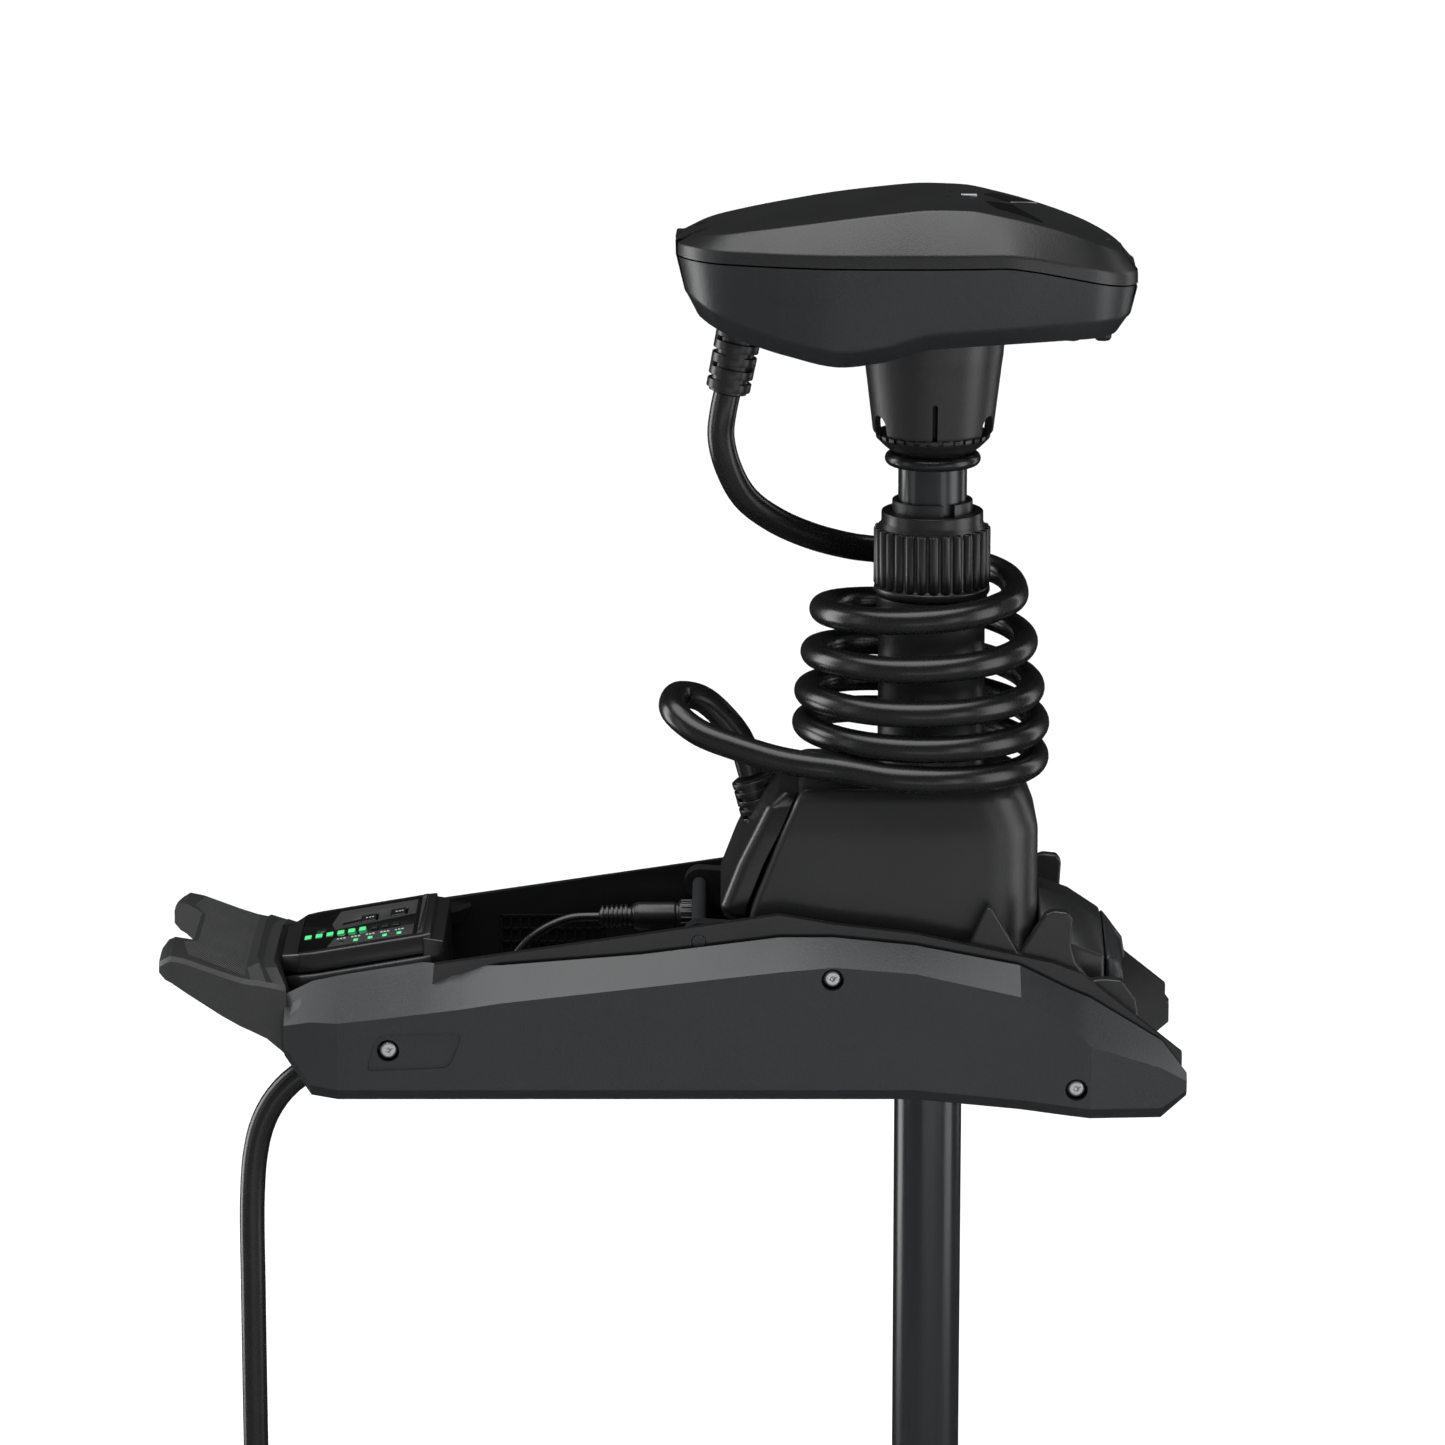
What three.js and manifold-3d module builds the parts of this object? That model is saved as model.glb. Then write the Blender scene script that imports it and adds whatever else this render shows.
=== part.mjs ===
// Bow-mount electric trolling motor, deployed. Millimetres, +Z up, +X to the bow, +Y to port.
// The origin is on the deck plane, under the base plate. The shaft stands at X = SHAFT_X, Y = 0.
import * as THREE from 'three';
import { mergeVertices } from 'three/addons/utils/BufferGeometryUtils.js';
import Module from 'manifold-3d';

const wasm = await Module();
wasm.setup();

// ---------- driving dimensions ----------
const GAP = 0.3; // clearance left between pieces that touch
const RUN = 0.5; // running clearance of the shaft in its sleeve

// deck mount
const BASE_REAR = -190;
const BASE_FRONT = 110; // short enough for the shaft to swing past it
const BASE_T = 8;
const RAIL_IN = 75; // inner side of each frame rail
const RAIL_T = 6;
const PANEL_OUT = 105; // outer face of each side panel
const PANEL_WALL = 3;
const BOLT_R = 3;
const BOLT_HEAD_R = 5;
const BOLT_HEAD_T = 4;
const BOLT_PLACES = [[-157, 33], [119, 79], [271, 8]];
const DECK_HOLE_R = 3.5;
const REST_T = 9; // thickness of the cradle plates that hold the stowed motor

// display console, whose top leans back
const LENS_TILT = THREE.MathUtils.degToRad(9.6);
const LENS_MID = new THREE.Vector3(-179, 0, 85.4);
const LENS_LENGTH = 76;
const LENS_HALF = 44;
const LENS_T = 3;
const CONSOLE_WALL = 3;
const BUTTON_X = 9;
const BUTTON_Y = 15;
const BUTTON_PLACES = { power_button: [5, 14], mode_button: [24, 17.5] };

// foot pedal
const PEDAL_PIVOT = [-205, 30];
const PEDAL_HALF = 73;
const PEDAL_WIDE = 77; // half width forward of the rails
const NOTCH_HALF = [43, 30]; // of the toe notch, at its mouth and at its root
const NOTCH_X = -281;
const PEDAL_WALL = 5;
const PEDAL_PIN_R = 4;
const PAD_T = 2.5;

// tilt pivot of the steering housing
const PIVOT = [36, 97];
const PIVOT_PIN_R = 4.5;
const PIVOT_BOSS_R = 9.5;
const ARM_SIDE = 3; // room between a pivot arm and its rail

// steering housing
const HOUSING_HALF = 62;
const HOUSING_BOTTOM = 24;
const HOUSING_TOP = 188;
const HOUSING_WALL = 3.5;
const HOUSING_PLATE = 5;
const COVER_T = 17;
const NOSE_FRONT = 303;
const NOSE_RIDGE = 14; // half width of its flat top
const TUBE_TOP = 301.5;
const TUBE_WALL = 3.5;

// shaft, sleeve and steering gears
const SHAFT_X = 182;
const SHAFT_R = 21.5;
const SHAFT_WALL = 3;
const SHAFT_TOP = 482;
const SLEEVE_WALL = 3.5;
const BEARING_WALL = 3.9;
const BEARING_H = 12;
const MODULE = 2;
const RING_TEETH = 40;
const PINION_TEETH = 10;
const GEAR_Z = 60;
const GEAR_H = 12;
const SPINDLE_R = 4;
const STEER_MOTOR_H = 74;

// depth collar
const NUT_R = 36.6;
const NUT_H = 46;
const NUT_WALL = 8;
const COLLET_TOP = 60; // height of the collet above the foot of the nut
const COLLET_WALL = 3;
const COLLET_SLOT = 7.5;

// head
const NECK_TOP_R = 42.5;
const NECK_LOW_R = 37.5;
const NECK_LOW_Z = 405;
const NECK_WALL = 4;
const HEAD_WALL = 3;
const BOARD_Z = 500;
const BOARD_T = 2;
const POST_R = 4;

// cords
const CORD_R = 8.5;
const POWER_R = 8;
const GLAND_R = 14.5;
const COIL_X = 175.5; // the coil stands a little aft of the shaft
const COIL_TOP_R = 58.6; // radius of its top and bottom turns at the cord's centre line
const COIL_LOW_R = 72.8;
const COIL_TOP = 305;

// lower unit
const MOTOR_Z = -850;
const MOTOR_R = 57;
const MOTOR_WALL = 3;
const MOTOR_REAR = 110;
const MOTOR_FRONT = 265;
const NOSE_LENGTH = 62;
const TAIL_LENGTH = 38;
const ROTOR_R = 36;
const MOTOR_SHAFT_R = 6;
const PROP_R = 133;
const PROP_HUB_R = 36;
const PROP_X = [22, 66];
const SKEG_DROP = 80;
const SOCKET_R = 30;

// ---------- sizes that follow ----------
const RAIL_OUT = RAIL_IN + RAIL_T;
const SHAFT_BOTTOM = MOTOR_Z + MOTOR_R + 4; // the shaft stands in the motor's socket
const SLEEVE_IN = SHAFT_R + RUN;
const SLEEVE_OUT = SLEEVE_IN + SLEEVE_WALL;
const BEARING_IN = SLEEVE_OUT + GAP;
const BEARING_OUT = BEARING_IN + BEARING_WALL;
const TUBE_IN = BEARING_OUT + GAP;
const TUBE_OUT = TUBE_IN + TUBE_WALL;
const FLANGE_R = TUBE_OUT + 8;
const CENTRES = MODULE * (RING_TEETH + PINION_TEETH) / 2;
const PINION_X = SHAFT_X - CENTRES;
const STEER_MOTOR_R = Math.min(22, CENTRES - SLEEVE_OUT - 1.5);
const NUT_FOOT = TUBE_TOP + RUN;
const COIL_IN = TUBE_OUT + Math.abs(SHAFT_X - COIL_X) + 6;
const REST_IN = RAIL_IN - GAP - REST_T;

// ---------- materials ----------
function finish(colour, roughness, metalness = 0) {
  return new THREE.MeshStandardMaterial({ color: colour, roughness, metalness });
}
const BLACK = 0x17181a;
const CHARCOAL = 0x26282b;
const RUBBER = 0x121314;
const STEEL = 0xc4c7ca;
const paints = {
  plastic: () => finish(BLACK, 0.55),
  panel: () => finish(CHARCOAL, 0.5),
  rubber: () => finish(RUBBER, 0.45),
  steel: () => finish(STEEL, 0.3, 1),
  shaft: () => finish(0x2b2d2f, 0.35),
  lens: () => finish(0x0b0c0d, 0.12),
  painted: () => finish(0x1d1f21, 0.4),
  brass: () => finish(0xb08d4a, 0.35, 1),
  board: () => finish(0x1f4a2c, 0.5),
  copper: () => finish(0x8a5a35, 0.45, 0.8),
};

const model = new THREE.Group();
function add(name, geometry, paint) {
  const mesh = new THREE.Mesh(geometry, paints[paint]());
  mesh.name = name;
  model.add(mesh);
}

// ---------- solids ----------
const v3 = (x, y, z) => new THREE.Vector3(x, y, z);

// A closed body from corner points and triangles, turned so that its faces point out.
function body(points, faces) {
  let volume = 0;
  for (const [a, b, c] of faces) volume += points[a].dot(points[b].clone().cross(points[c]));
  const index = volume < 0 ? faces.map(([a, b, c]) => [a, c, b]) : faces;
  const flat = [];
  for (const face of index) for (const i of face) flat.push(...points[i].toArray());
  const geometry = new THREE.BufferGeometry();
  geometry.setAttribute('position', new THREE.Float32BufferAttribute(flat, 3));
  geometry.computeVertexNormals();
  return geometry;
}

// The same for any closed three.js geometry: shared points merged, thin faces dropped.
function tidy(geometry) {
  const bare = geometry.clone();
  for (const name of ['normal', 'uv']) bare.deleteAttribute(name);
  const merged = mergeVertices(bare, 1e-3);
  const place = merged.attributes.position;
  const points = [];
  for (let i = 0; i < place.count; i++) points.push(v3().fromBufferAttribute(place, i));
  const faces = [];
  for (let i = 0; i < merged.index.count; i += 3) {
    const [a, b, c] = [0, 1, 2].map((k) => merged.index.getX(i + k));
    if (a !== b && b !== c && c !== a) faces.push([a, b, c]);
  }
  return body(points, faces);
}

function solid(geometry) {
  const merged = mergeVertices(tidy(geometry).deleteAttribute('normal'), 1e-3);
  return new wasm.Manifold(new wasm.Mesh({
    numProp: 3,
    vertProperties: new Float32Array(merged.attributes.position.array),
    triVerts: new Uint32Array(merged.index.array),
  }));
}

function shape(made) {
  const { vertProperties, triVerts } = made.getMesh();
  const points = [];
  for (let i = 0; i < vertProperties.length; i += 3) {
    points.push(v3(...vertProperties.subarray(i, i + 3)));
  }
  const faces = [];
  for (let i = 0; i < triVerts.length; i += 3) faces.push([...triVerts.subarray(i, i + 3)]);
  return body(points, faces);
}

const cut = (base, ...tools) => shape(tools.reduce((made, t) => made.subtract(solid(t)), solid(base)));
const join = (base, ...more) => shape(more.reduce((made, t) => made.add(solid(t)), solid(base)));
const common = (a, b) => shape(solid(a).intersect(solid(b)));
const moved = (geometry, x, y, z) => geometry.clone().translate(x, y, z);

// Rings of equal point count, joined by walls and closed by a fan at each end.
function loft(rings) {
  const n = rings[0].length;
  const points = rings.flat();
  const faces = [];
  for (let r = 0; r + 1 < rings.length; r++) {
    for (let i = 0; i < n; i++) {
      const [a, b] = [r * n + i, r * n + (i + 1) % n];
      faces.push([a, b, b + n], [a, b + n, a + n]);
    }
  }
  for (const [r, turn] of [[0, 1], [rings.length - 1, 0]]) {
    const middle = rings[r].reduce((sum, p) => sum.add(p), v3()).divideScalar(n);
    points.push(middle);
    for (let i = 0; i < n; i++) {
      const [a, b] = [r * n + i, r * n + (i + 1) % n];
      faces.push(turn ? [points.length - 1, b, a] : [points.length - 1, a, b]);
    }
  }
  return body(points, faces);
}

function box(x0, x1, y0, y1, z0, z1) {
  const block = new THREE.BoxGeometry(x1 - x0, y1 - y0, z1 - z0);
  return tidy(block.translate((x0 + x1) / 2, (y0 + y1) / 2, (z0 + z1) / 2));
}

// A rod, or a cone, between two points.
function rod(from, to, r0, r1 = r0, sides = 16) {
  const along = to.clone().sub(from);
  const cylinder = new THREE.CylinderGeometry(r1, r0, along.length(), sides);
  cylinder.translate(0, along.length() / 2, 0);
  const turn = new THREE.Quaternion().setFromUnitVectors(v3(0, 1, 0), along.normalize());
  return tidy(cylinder.applyQuaternion(turn).translate(from.x, from.y, from.z));
}
const rodY = (x, z, y0, y1, r, sides) => rod(v3(x, y0, z), v3(x, y1, z), r, r, sides);
const rodZ = (x, y, z0, z1, r, sides) => rod(v3(x, y, z0), v3(x, y, z1), r, r, sides);

// A turned piece round a vertical axis, from [radius, height] pairs.
function turned(profile, x = SHAFT_X, segments = 24) {
  const closed = profile[0][0] === 0 ? profile : [...profile, profile[0]];
  const made = new THREE.LatheGeometry(closed.map(([r, z]) => new THREE.Vector2(r, z)), segments);
  return tidy(made.rotateX(Math.PI / 2).translate(x, 0, 0));
}
const ring = (r0, r1, z0, z1, segments) =>
  turned([[r0, z0], [r1, z0], [r1, z1], [r0, z1]], SHAFT_X, segments);

// The same round the motor's axis, from [radius, x] pairs.
function turnedX(profile, segments = 24) {
  return tidy(turned(profile, 0, segments).rotateY(Math.PI / 2).translate(0, 0, MOTOR_Z));
}

function outline(points) {
  return new THREE.Shape(points.map(([a, b]) => new THREE.Vector2(a, b)));
}
function extrude(points, depth) {
  return new THREE.ExtrudeGeometry(outline(points), { depth, bevelEnabled: false });
}
// Side views [x, z] given a width, and plan views [x, y] given a height.
const sideways = (points, y0, y1) =>
  tidy(extrude(points, y1 - y0).rotateX(Math.PI / 2).translate(0, y1, 0));
const upright = (points, z0, z1) => tidy(extrude(points, z1 - z0).translate(0, 0, z0));

// A round cord through hand-picked points.
function cordTube(points, radius, sides = 10) {
  const path = new THREE.CatmullRomCurve3(points.map((p) => v3(...p)), false, 'centripetal');
  const circle = new THREE.Shape().absarc(0, 0, radius, 0, 2 * Math.PI);
  const steps = Math.min(80, Math.ceil(path.getLength() / (5 * radius)));
  const settings = { steps, curveSegments: sides / 2, bevelEnabled: false, extrudePath: path };
  return tidy(new THREE.ExtrudeGeometry(circle, settings));
}

// Height of a broken line of [x, z] points at x.
function lineAt(points, x) {
  const last = points.length - 1;
  const next = Math.min(last, Math.max(1, points.findIndex((p) => p[0] >= x)));
  const [[x0, z0], [x1, z1]] = [points[next - 1], points[next]];
  return z0 + (z1 - z0) * THREE.MathUtils.clamp((x - x0) / (x1 - x0), 0, 1);
}

// Mirrors a port piece to starboard.
function mirrored(geometry) {
  return tidy(geometry.clone().scale(1, -1, 1));
}

// ---------- deck mount ----------
const RAIL_LINE = [[-214, 46], [-131, 60], [-129, 82], [35, 107], [86, 114], [120, 108],
  [170, 102], [257, 83], [275, 76], [338, 25]];
const UNDER_LINE = [[-214, 12], [-203, 1], [199, 1], [280, -12], [317, -15], [338, 4]];

const ROD_Y = 60; // the latch rod runs along the port side of the trough floor
const ROD_HALF = 3;
const ROD_Z = BASE_T + 2 + ROD_HALF;

function latchBar(x0, x1, grow = 0) {
  const half = ROD_HALF + grow;
  return box(x0, x1, ROD_Y - half, ROD_Y + half, ROD_Z - half, ROD_Z + half);
}

function basePlate() {
  const half = RAIL_IN - GAP;
  const guides = [-112, 8].map((x) =>
    box(x - 4, x + 4, ROD_Y - 6, ROD_Y + 6, BASE_T - 1, ROD_Z + ROD_HALF + 3));
  const plate = join(box(BASE_REAR, BASE_FRONT, -half, half, 0, BASE_T), ...guides);
  const holes = [];
  for (const x of [BASE_REAR + 20, BASE_FRONT - 20]) {
    for (const y of [-1, 1]) holes.push(rodZ(x, y * (half - 18), -1, BASE_T + 1, DECK_HOLE_R));
  }
  return cut(plate, ...holes, latchBar(BASE_REAR, BASE_FRONT, GAP));
}

function frameRail() {
  const side = sideways([...RAIL_LINE, ...[...UNDER_LINE].reverse()], RAIL_IN, RAIL_OUT);
  const bores = BOLT_PLACES.map(([x, z]) =>
    rodY(x, z, RAIL_IN - 1, RAIL_OUT + 1, BOLT_R + GAP, 16));
  bores.push(rodY(...PIVOT, RAIL_IN - 1, RAIL_OUT + 1, PIVOT_PIN_R + GAP));
  bores.push(rodY(...PEDAL_PIVOT, RAIL_IN - 1, RAIL_OUT + 1, PEDAL_PIN_R + GAP));
  return cut(side, ...bores);
}

// Stations of a side panel: x, outer face, underside, top of the face, top edge.
const PANEL_STATIONS = [
  [-222, 86, 28, 38, 44], [-205, 99, 4, 52, 68], [-186, PANEL_OUT, 0, 56, 76],
  [-130, PANEL_OUT, 0, 59, 80], [-87, PANEL_OUT, 0, 65, 82], [0, PANEL_OUT, 0, 74, 90],
  [86, PANEL_OUT, 0, 84, 101], [120, PANEL_OUT, 0, 87, 101], [170, PANEL_OUT, 0, 83, 96],
  [236, PANEL_OUT, -7, 76, 84], [285, PANEL_OUT, -14, 38, 62], [325, 95, -16, 18, 34],
  [342, 86, -2, 8, 14]];
function panelSolid(inset) {
  const inner = RAIL_OUT + GAP - (inset ? 5 : 0);
  const edge = 3.5; // width of the top edge
  const rings = PANEL_STATIONS.map(([x, out, low, face, top], i) => {
    const chamfer = 6;
    const at = x + (i === 0 ? inset : i === PANEL_STATIONS.length - 1 ? -inset : 0);
    return [[inner, low + inset], [out - chamfer - inset, low + inset],
      [out - inset, low + chamfer + inset / 2], [out - inset, face - inset / 2],
      [RAIL_OUT + GAP + edge - inset / 2, top - inset], [inner, top - inset],
    ].map(([y, z]) => v3(at, y, z));
  });
  return loft(rings);
}

function sidePanel() {
  const outer = panelSolid(0);
  const shell = cut(outer, panelSolid(PANEL_WALL));
  const inner = RAIL_OUT + GAP;
  const seat = PANEL_OUT - 9;
  const bosses = BOLT_PLACES.map(([x, z]) =>
    common(rodY(x, z, inner, PANEL_OUT - 1, BOLT_HEAD_R + 4), outer));
  const holes = BOLT_PLACES.flatMap(([x, z]) => [
    rodY(x, z, inner - 1, PANEL_OUT, BOLT_R + GAP, 16),
    rodY(x, z, seat, PANEL_OUT + 1, BOLT_HEAD_R + 1.2)]);
  return cut(join(shell, ...bosses), ...holes);
}

function panelBolt([x, z]) {
  const seat = PANEL_OUT - 9 + GAP;
  const shank = rodY(x, z, RAIL_IN + 1, seat + 1, BOLT_R, 16);
  return join(shank, rodY(x, z, seat, seat + BOLT_HEAD_T, BOLT_HEAD_R));
}

// Cradle plate: a triangular fin, a square fin and a small fin lower on the slope.
const REST_OUTLINE = [[200, 66], [201, 90], [205, 94], [215, 117], [218, 117], [236, 87],
  [252, 113], [257, 115], [266, 114], [269, 110], [268, 92], [271, 82], [280, 70], [289, 71],
  [300, 70], [309, 58], [311, 46], [304, 36]];

// The coupling of the transducer lead lies in a saddle that is moulded to the port rail.
const COUPLER = { y: HOUSING_HALF - 14, z: 78, r: 9.5, rear: -28, front: 40 };
function connectorSaddle() {
  const { y, z, r } = COUPLER;
  return cut(box(4, 14, y - 9, RAIL_IN + 1, z - r - 6, z - 2),
    rod(v3(0, y, z), v3(20, y, z), r + GAP));
}

function deckMount() {
  add('base_plate', basePlate(), 'painted');
  const bolts = ['rear', 'middle', 'front'];
  const rail = frameRail();
  add('frame_rail_port', join(rail, connectorSaddle()), 'plastic');
  add('frame_rail_starboard', mirrored(rail), 'plastic');
  const pieces = [['side_panel', sidePanel(), 'panel'],
    ['motor_rest', sideways(REST_OUTLINE, REST_IN, REST_IN + REST_T), 'plastic']];
  BOLT_PLACES.forEach((place, i) => pieces.push([`panel_bolt_${bolts[i]}`, panelBolt(place), 'steel']));
  for (const [name, port, paint] of pieces) {
    add(`${name}_port`, port, paint);
    add(`${name}_starboard`, mirrored(port), paint);
  }
  add('tilt_pivot_pin', rodY(...PIVOT, -RAIL_OUT, RAIL_OUT, PIVOT_PIN_R), 'steel');
  const end = RAIL_OUT;
  add('pedal_pivot_pin', rodY(...PEDAL_PIVOT, -end, end, PEDAL_PIN_R, 16), 'steel');
}

// ---------- display console ----------
// Places a piece that was drawn flat round the origin onto the leaning top.
function onConsole(geometry) {
  return tidy(geometry.clone().rotateY(-LENS_TILT).translate(...LENS_MID.toArray()));
}
const lensTop = (x) => LENS_MID.z + (x - LENS_MID.x) * Math.tan(LENS_TILT);

const PROW_X = -226.5;
// Stations of the console: x, underside, shoulder, half width.
const CONSOLE_STATIONS = [[PROW_X, 68, 72, 36], [-214, 62, 67, 66], [-197, 36, 60, 72],
  [-191.5, BASE_T + GAP, 56, 74], [-131.5, BASE_T + GAP, 60, 74]];
function consoleSolid(inset) {
  const half = RAIL_IN - GAP;
  const last = CONSOLE_STATIONS.length - 1;
  const rings = CONSOLE_STATIONS.map(([x, low, shoulder, width], i) => {
    const at = x + (i === 0 ? inset : i === last ? -inset : 0);
    const wide = Math.min(width, half) - inset;
    const top = lensTop(at) + 1.2 - 2 * inset;
    const narrow = Math.min(LENS_HALF + 6, width - 2) - inset;
    const foot = low - (inset ? 2 : 0);
    return [[-wide, foot], [wide, foot], [wide, shoulder - inset], [narrow, top],
      [-narrow, top], [-wide, shoulder - inset]].map(([y, z]) => v3(at, y, z));
  });
  return loft(rings);
}

function displayConsole() {
  const length = LENS_LENGTH / 2;
  const flat = (grow, z0, z1) => box(-length - grow, length + grow,
    -LENS_HALF - grow, LENS_HALF + grow, z0, z1);
  const hollow = consoleSolid(CONSOLE_WALL);
  const pocket = onConsole(flat(GAP, -LENS_T - GAP, 9));
  const wells = Object.values(BUTTON_PLACES).map(([x, y]) =>
    onConsole(box(x - BUTTON_X, x + BUTTON_X, y - BUTTON_Y, y + BUTTON_Y, -12, 4)));
  const gate = box(-240, -120, ROD_Y - 6, ROD_Y + 6, 0, ROD_Z + 6);
  add('display_console', cut(consoleSolid(0), hollow, pocket, ...wells, gate), 'plastic');

  const slots = Object.values(BUTTON_PLACES).map(([x, y]) => box(x - BUTTON_X / 2 - GAP,
    x + BUTTON_X / 2 + GAP, y - BUTTON_Y / 2 - GAP, y + BUTTON_Y / 2 + GAP, -9, 9));
  add('display_lens', onConsole(cut(flat(0, -LENS_T, 0), ...slots)), 'lens');
  for (const [name, [x, y]] of Object.entries(BUTTON_PLACES)) {
    const cap = box(x - BUTTON_X / 2, x + BUTTON_X / 2, y - BUTTON_Y / 2, y + BUTTON_Y / 2, -6, 0.6);
    add(name, onConsole(cap), 'plastic');
  }
}

// ---------- foot pedal ----------
const PEDAL_SIDE = [[-301, 83], [-296, 89], [-290, 88], [-252, 73.4], [-248, 73.5], [-242, 77],
  [-238, 74], [-231.5, 74], [-229, 62], [-217, 44], [-214, 3], [-234, 18], [-262, 48], [-293, 70]];
const PEDAL_INNER = [[-295, 80], [-290, 82], [-252, 67.5], [-247, 67.5], [-242, 71], [-237, 69],
  [-234, 60], [-222, 45], [-208, 44], [-208, -20], [-252, 20], [-284, 64]];
const PAD_PLAN = [[-247, 71], [-283, 69], [-288, 44], [-279, 32]]; // port side

const bothSides = (half) => [...half, ...[...half].reverse().map(([x, y]) => [x, -y])];

function pedalPlan(inset) {
  const [mouth, root] = NOTCH_HALF.map((half) => half + inset);
  return bothSides([[-200, PEDAL_HALF - inset], [-222, PEDAL_HALF - inset], [-232, PEDAL_WIDE - inset],
    [-296 + inset, PEDAL_WIDE - inset], [-301 + inset, PEDAL_WIDE - 5 - inset],
    [-294 + inset, mouth], [NOTCH_X + inset, root]]);
}

function footPedal() {
  const whole = common(sideways(PEDAL_SIDE, -90, 90), upright(pedalPlan(0), -10, 120));
  const inner = common(sideways(PEDAL_INNER, -90, 90), upright(pedalPlan(PEDAL_WALL), -30, 120));
  const padLine = ([x0, low0], [x1, low1], high) =>
    sideways([[x0, low0], [x1, low1], [x1, high(x1)], [x0, high(x0)]], -90, 90);
  const padTop = (x) => 88 - 18 / 47 * (x + 290); // height of the tread
  const seat = padLine([-288, padTop(-288) - PAD_T], [-247, padTop(-247) - PAD_T], (x) => padTop(x) + 15);
  const recess = common(seat, upright(bothSides(PAD_PLAN), 0, 120));
  const cheeks = [-1, 1].flatMap((side) => {
    const [near, far] = [side * (PEDAL_HALF - 9), side * PEDAL_HALF].sort((a, b) => a - b);
    const [px, pz] = PEDAL_PIVOT;
    return [join(rodY(px, pz, near, far, PEDAL_PIN_R + 5, 20),
      sideways([[px, pz - 8], [px, pz + 8], [px - 12, pz + 12], [px - 12, pz - 12]], near, far))];
  });
  const bore = rodY(...PEDAL_PIVOT, -90, 90, PEDAL_PIN_R + GAP, 16);
  add('pedal_frame', cut(join(cut(whole, inner, recess), ...cheeks), bore), 'plastic');

  const under = (x) => padTop(x) - PAD_T + GAP;
  const pad = padLine([-290, under(-290)], [-245, under(-245)], (x) => padTop(x) + 0.6);
  const plan = bothSides(PAD_PLAN.map(([x, y], i) =>
    [x + (i === 0 ? -GAP : GAP), y + (i < 2 ? -GAP : GAP)]));
  add('pedal_pad', common(pad, upright(plan, 0, 120)), 'rubber');

  const [rear, front] = [-196, 24];
  const hook = box(front - 8, front, ROD_Y - ROD_HALF, ROD_Y + ROD_HALF, ROD_Z, ROD_Z + 22);
  add('latch_rod', join(latchBar(rear, front), hook), 'steel');
}

// ---------- steering housing ----------
// Stations of the shell: height, rear, front, half width.
const HOUSING_STATIONS = [[HOUSING_BOTTOM, 98, 246, 0.8], [60, 72, 249, 0.98],
  [107, 66, 249, 1], [160, 87, 249, 0.97], [181, 96.5, 241, 0.92], [HOUSING_TOP, 101, 236, 0.87]];

// A rounded rectangle in plan, with sharper corners aft than forward.
function roundedPlan(x0, x1, half, z, rear = 8, front = 34) {
  const points = [];
  const corners = [[x1 - front, half - front, 0, front], [x0 + rear, half - rear, 1, rear],
    [x0 + rear, rear - half, 2, rear], [x1 - front, front - half, 3, front]];
  for (const [cx, cy, quarter, r] of corners) {
    for (let i = 0; i <= 4; i++) {
      const angle = (quarter + i / 4) * Math.PI / 2;
      points.push(v3(cx + r * Math.cos(angle), cy + r * Math.sin(angle), z));
    }
  }
  return points;
}

function housingSolid(inset) {
  return loft(HOUSING_STATIONS.map(([z, x0, x1, share]) => {
    const lift = z === HOUSING_BOTTOM ? inset && HOUSING_PLATE : z === HOUSING_TOP
      ? -(inset && HOUSING_PLATE) : 0;
    return roundedPlan(x0 + inset, x1 - inset, HOUSING_HALF * share - inset, z + lift,
      8 - inset, 34 - inset);
  }));
}

const rearLine = HOUSING_STATIONS.map(([z, x]) => [z, x]);
function coverSolid(grow) {
  const heights = [101, 107, 140, 160, 178, 184];
  return loft(heights.map((z, i) => {
    const x1 = lineAt(rearLine, z) - GAP + grow;
    const half = HOUSING_HALF * (0.93 - 0.02 * i) + grow;
    const thick = i === 0 ? COVER_T - 6 : i > 4 ? COVER_T - 5 : COVER_T;
    const lift = i === 0 ? -grow : i === heights.length - 1 ? grow : 0;
    return roundedPlan(x1 - thick - grow, x1, half, z + lift, 7, 1);
  }));
}

function pivotArm() {
  const far = RAIL_IN - ARM_SIDE;
  const near = HOUSING_HALF - 3;
  const [px, pz] = PIVOT;
  const web = sideways([[px, pz - PIVOT_BOSS_R], [px, pz + PIVOT_BOSS_R], [92, pz + 6],
    [92, pz - 24], [px + 20, pz - 18]], near, far);
  return join(web, rodY(px, pz, near, far, PIVOT_BOSS_R));
}

function housingShell() {
  const arm = pivotArm();
  const hollow = housingSolid(HOUSING_WALL);
  const shell = join(housingSolid(0), arm, mirrored(arm));
  const top = rodZ(SHAFT_X, 0, HOUSING_TOP - 10, HOUSING_TOP + 5, TUBE_OUT + GAP, 32);
  const foot = rodZ(SHAFT_X, 0, HOUSING_BOTTOM - 5, HOUSING_BOTTOM + 15, BEARING_OUT + GAP, 32);
  const window = box(40, 120, -34, 34, 116, 168);
  const bore = rodY(...PIVOT, -RAIL_IN, RAIL_IN, PIVOT_PIN_R + GAP);
  return cut(shell, hollow, top, foot, window, bore);
}

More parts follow.
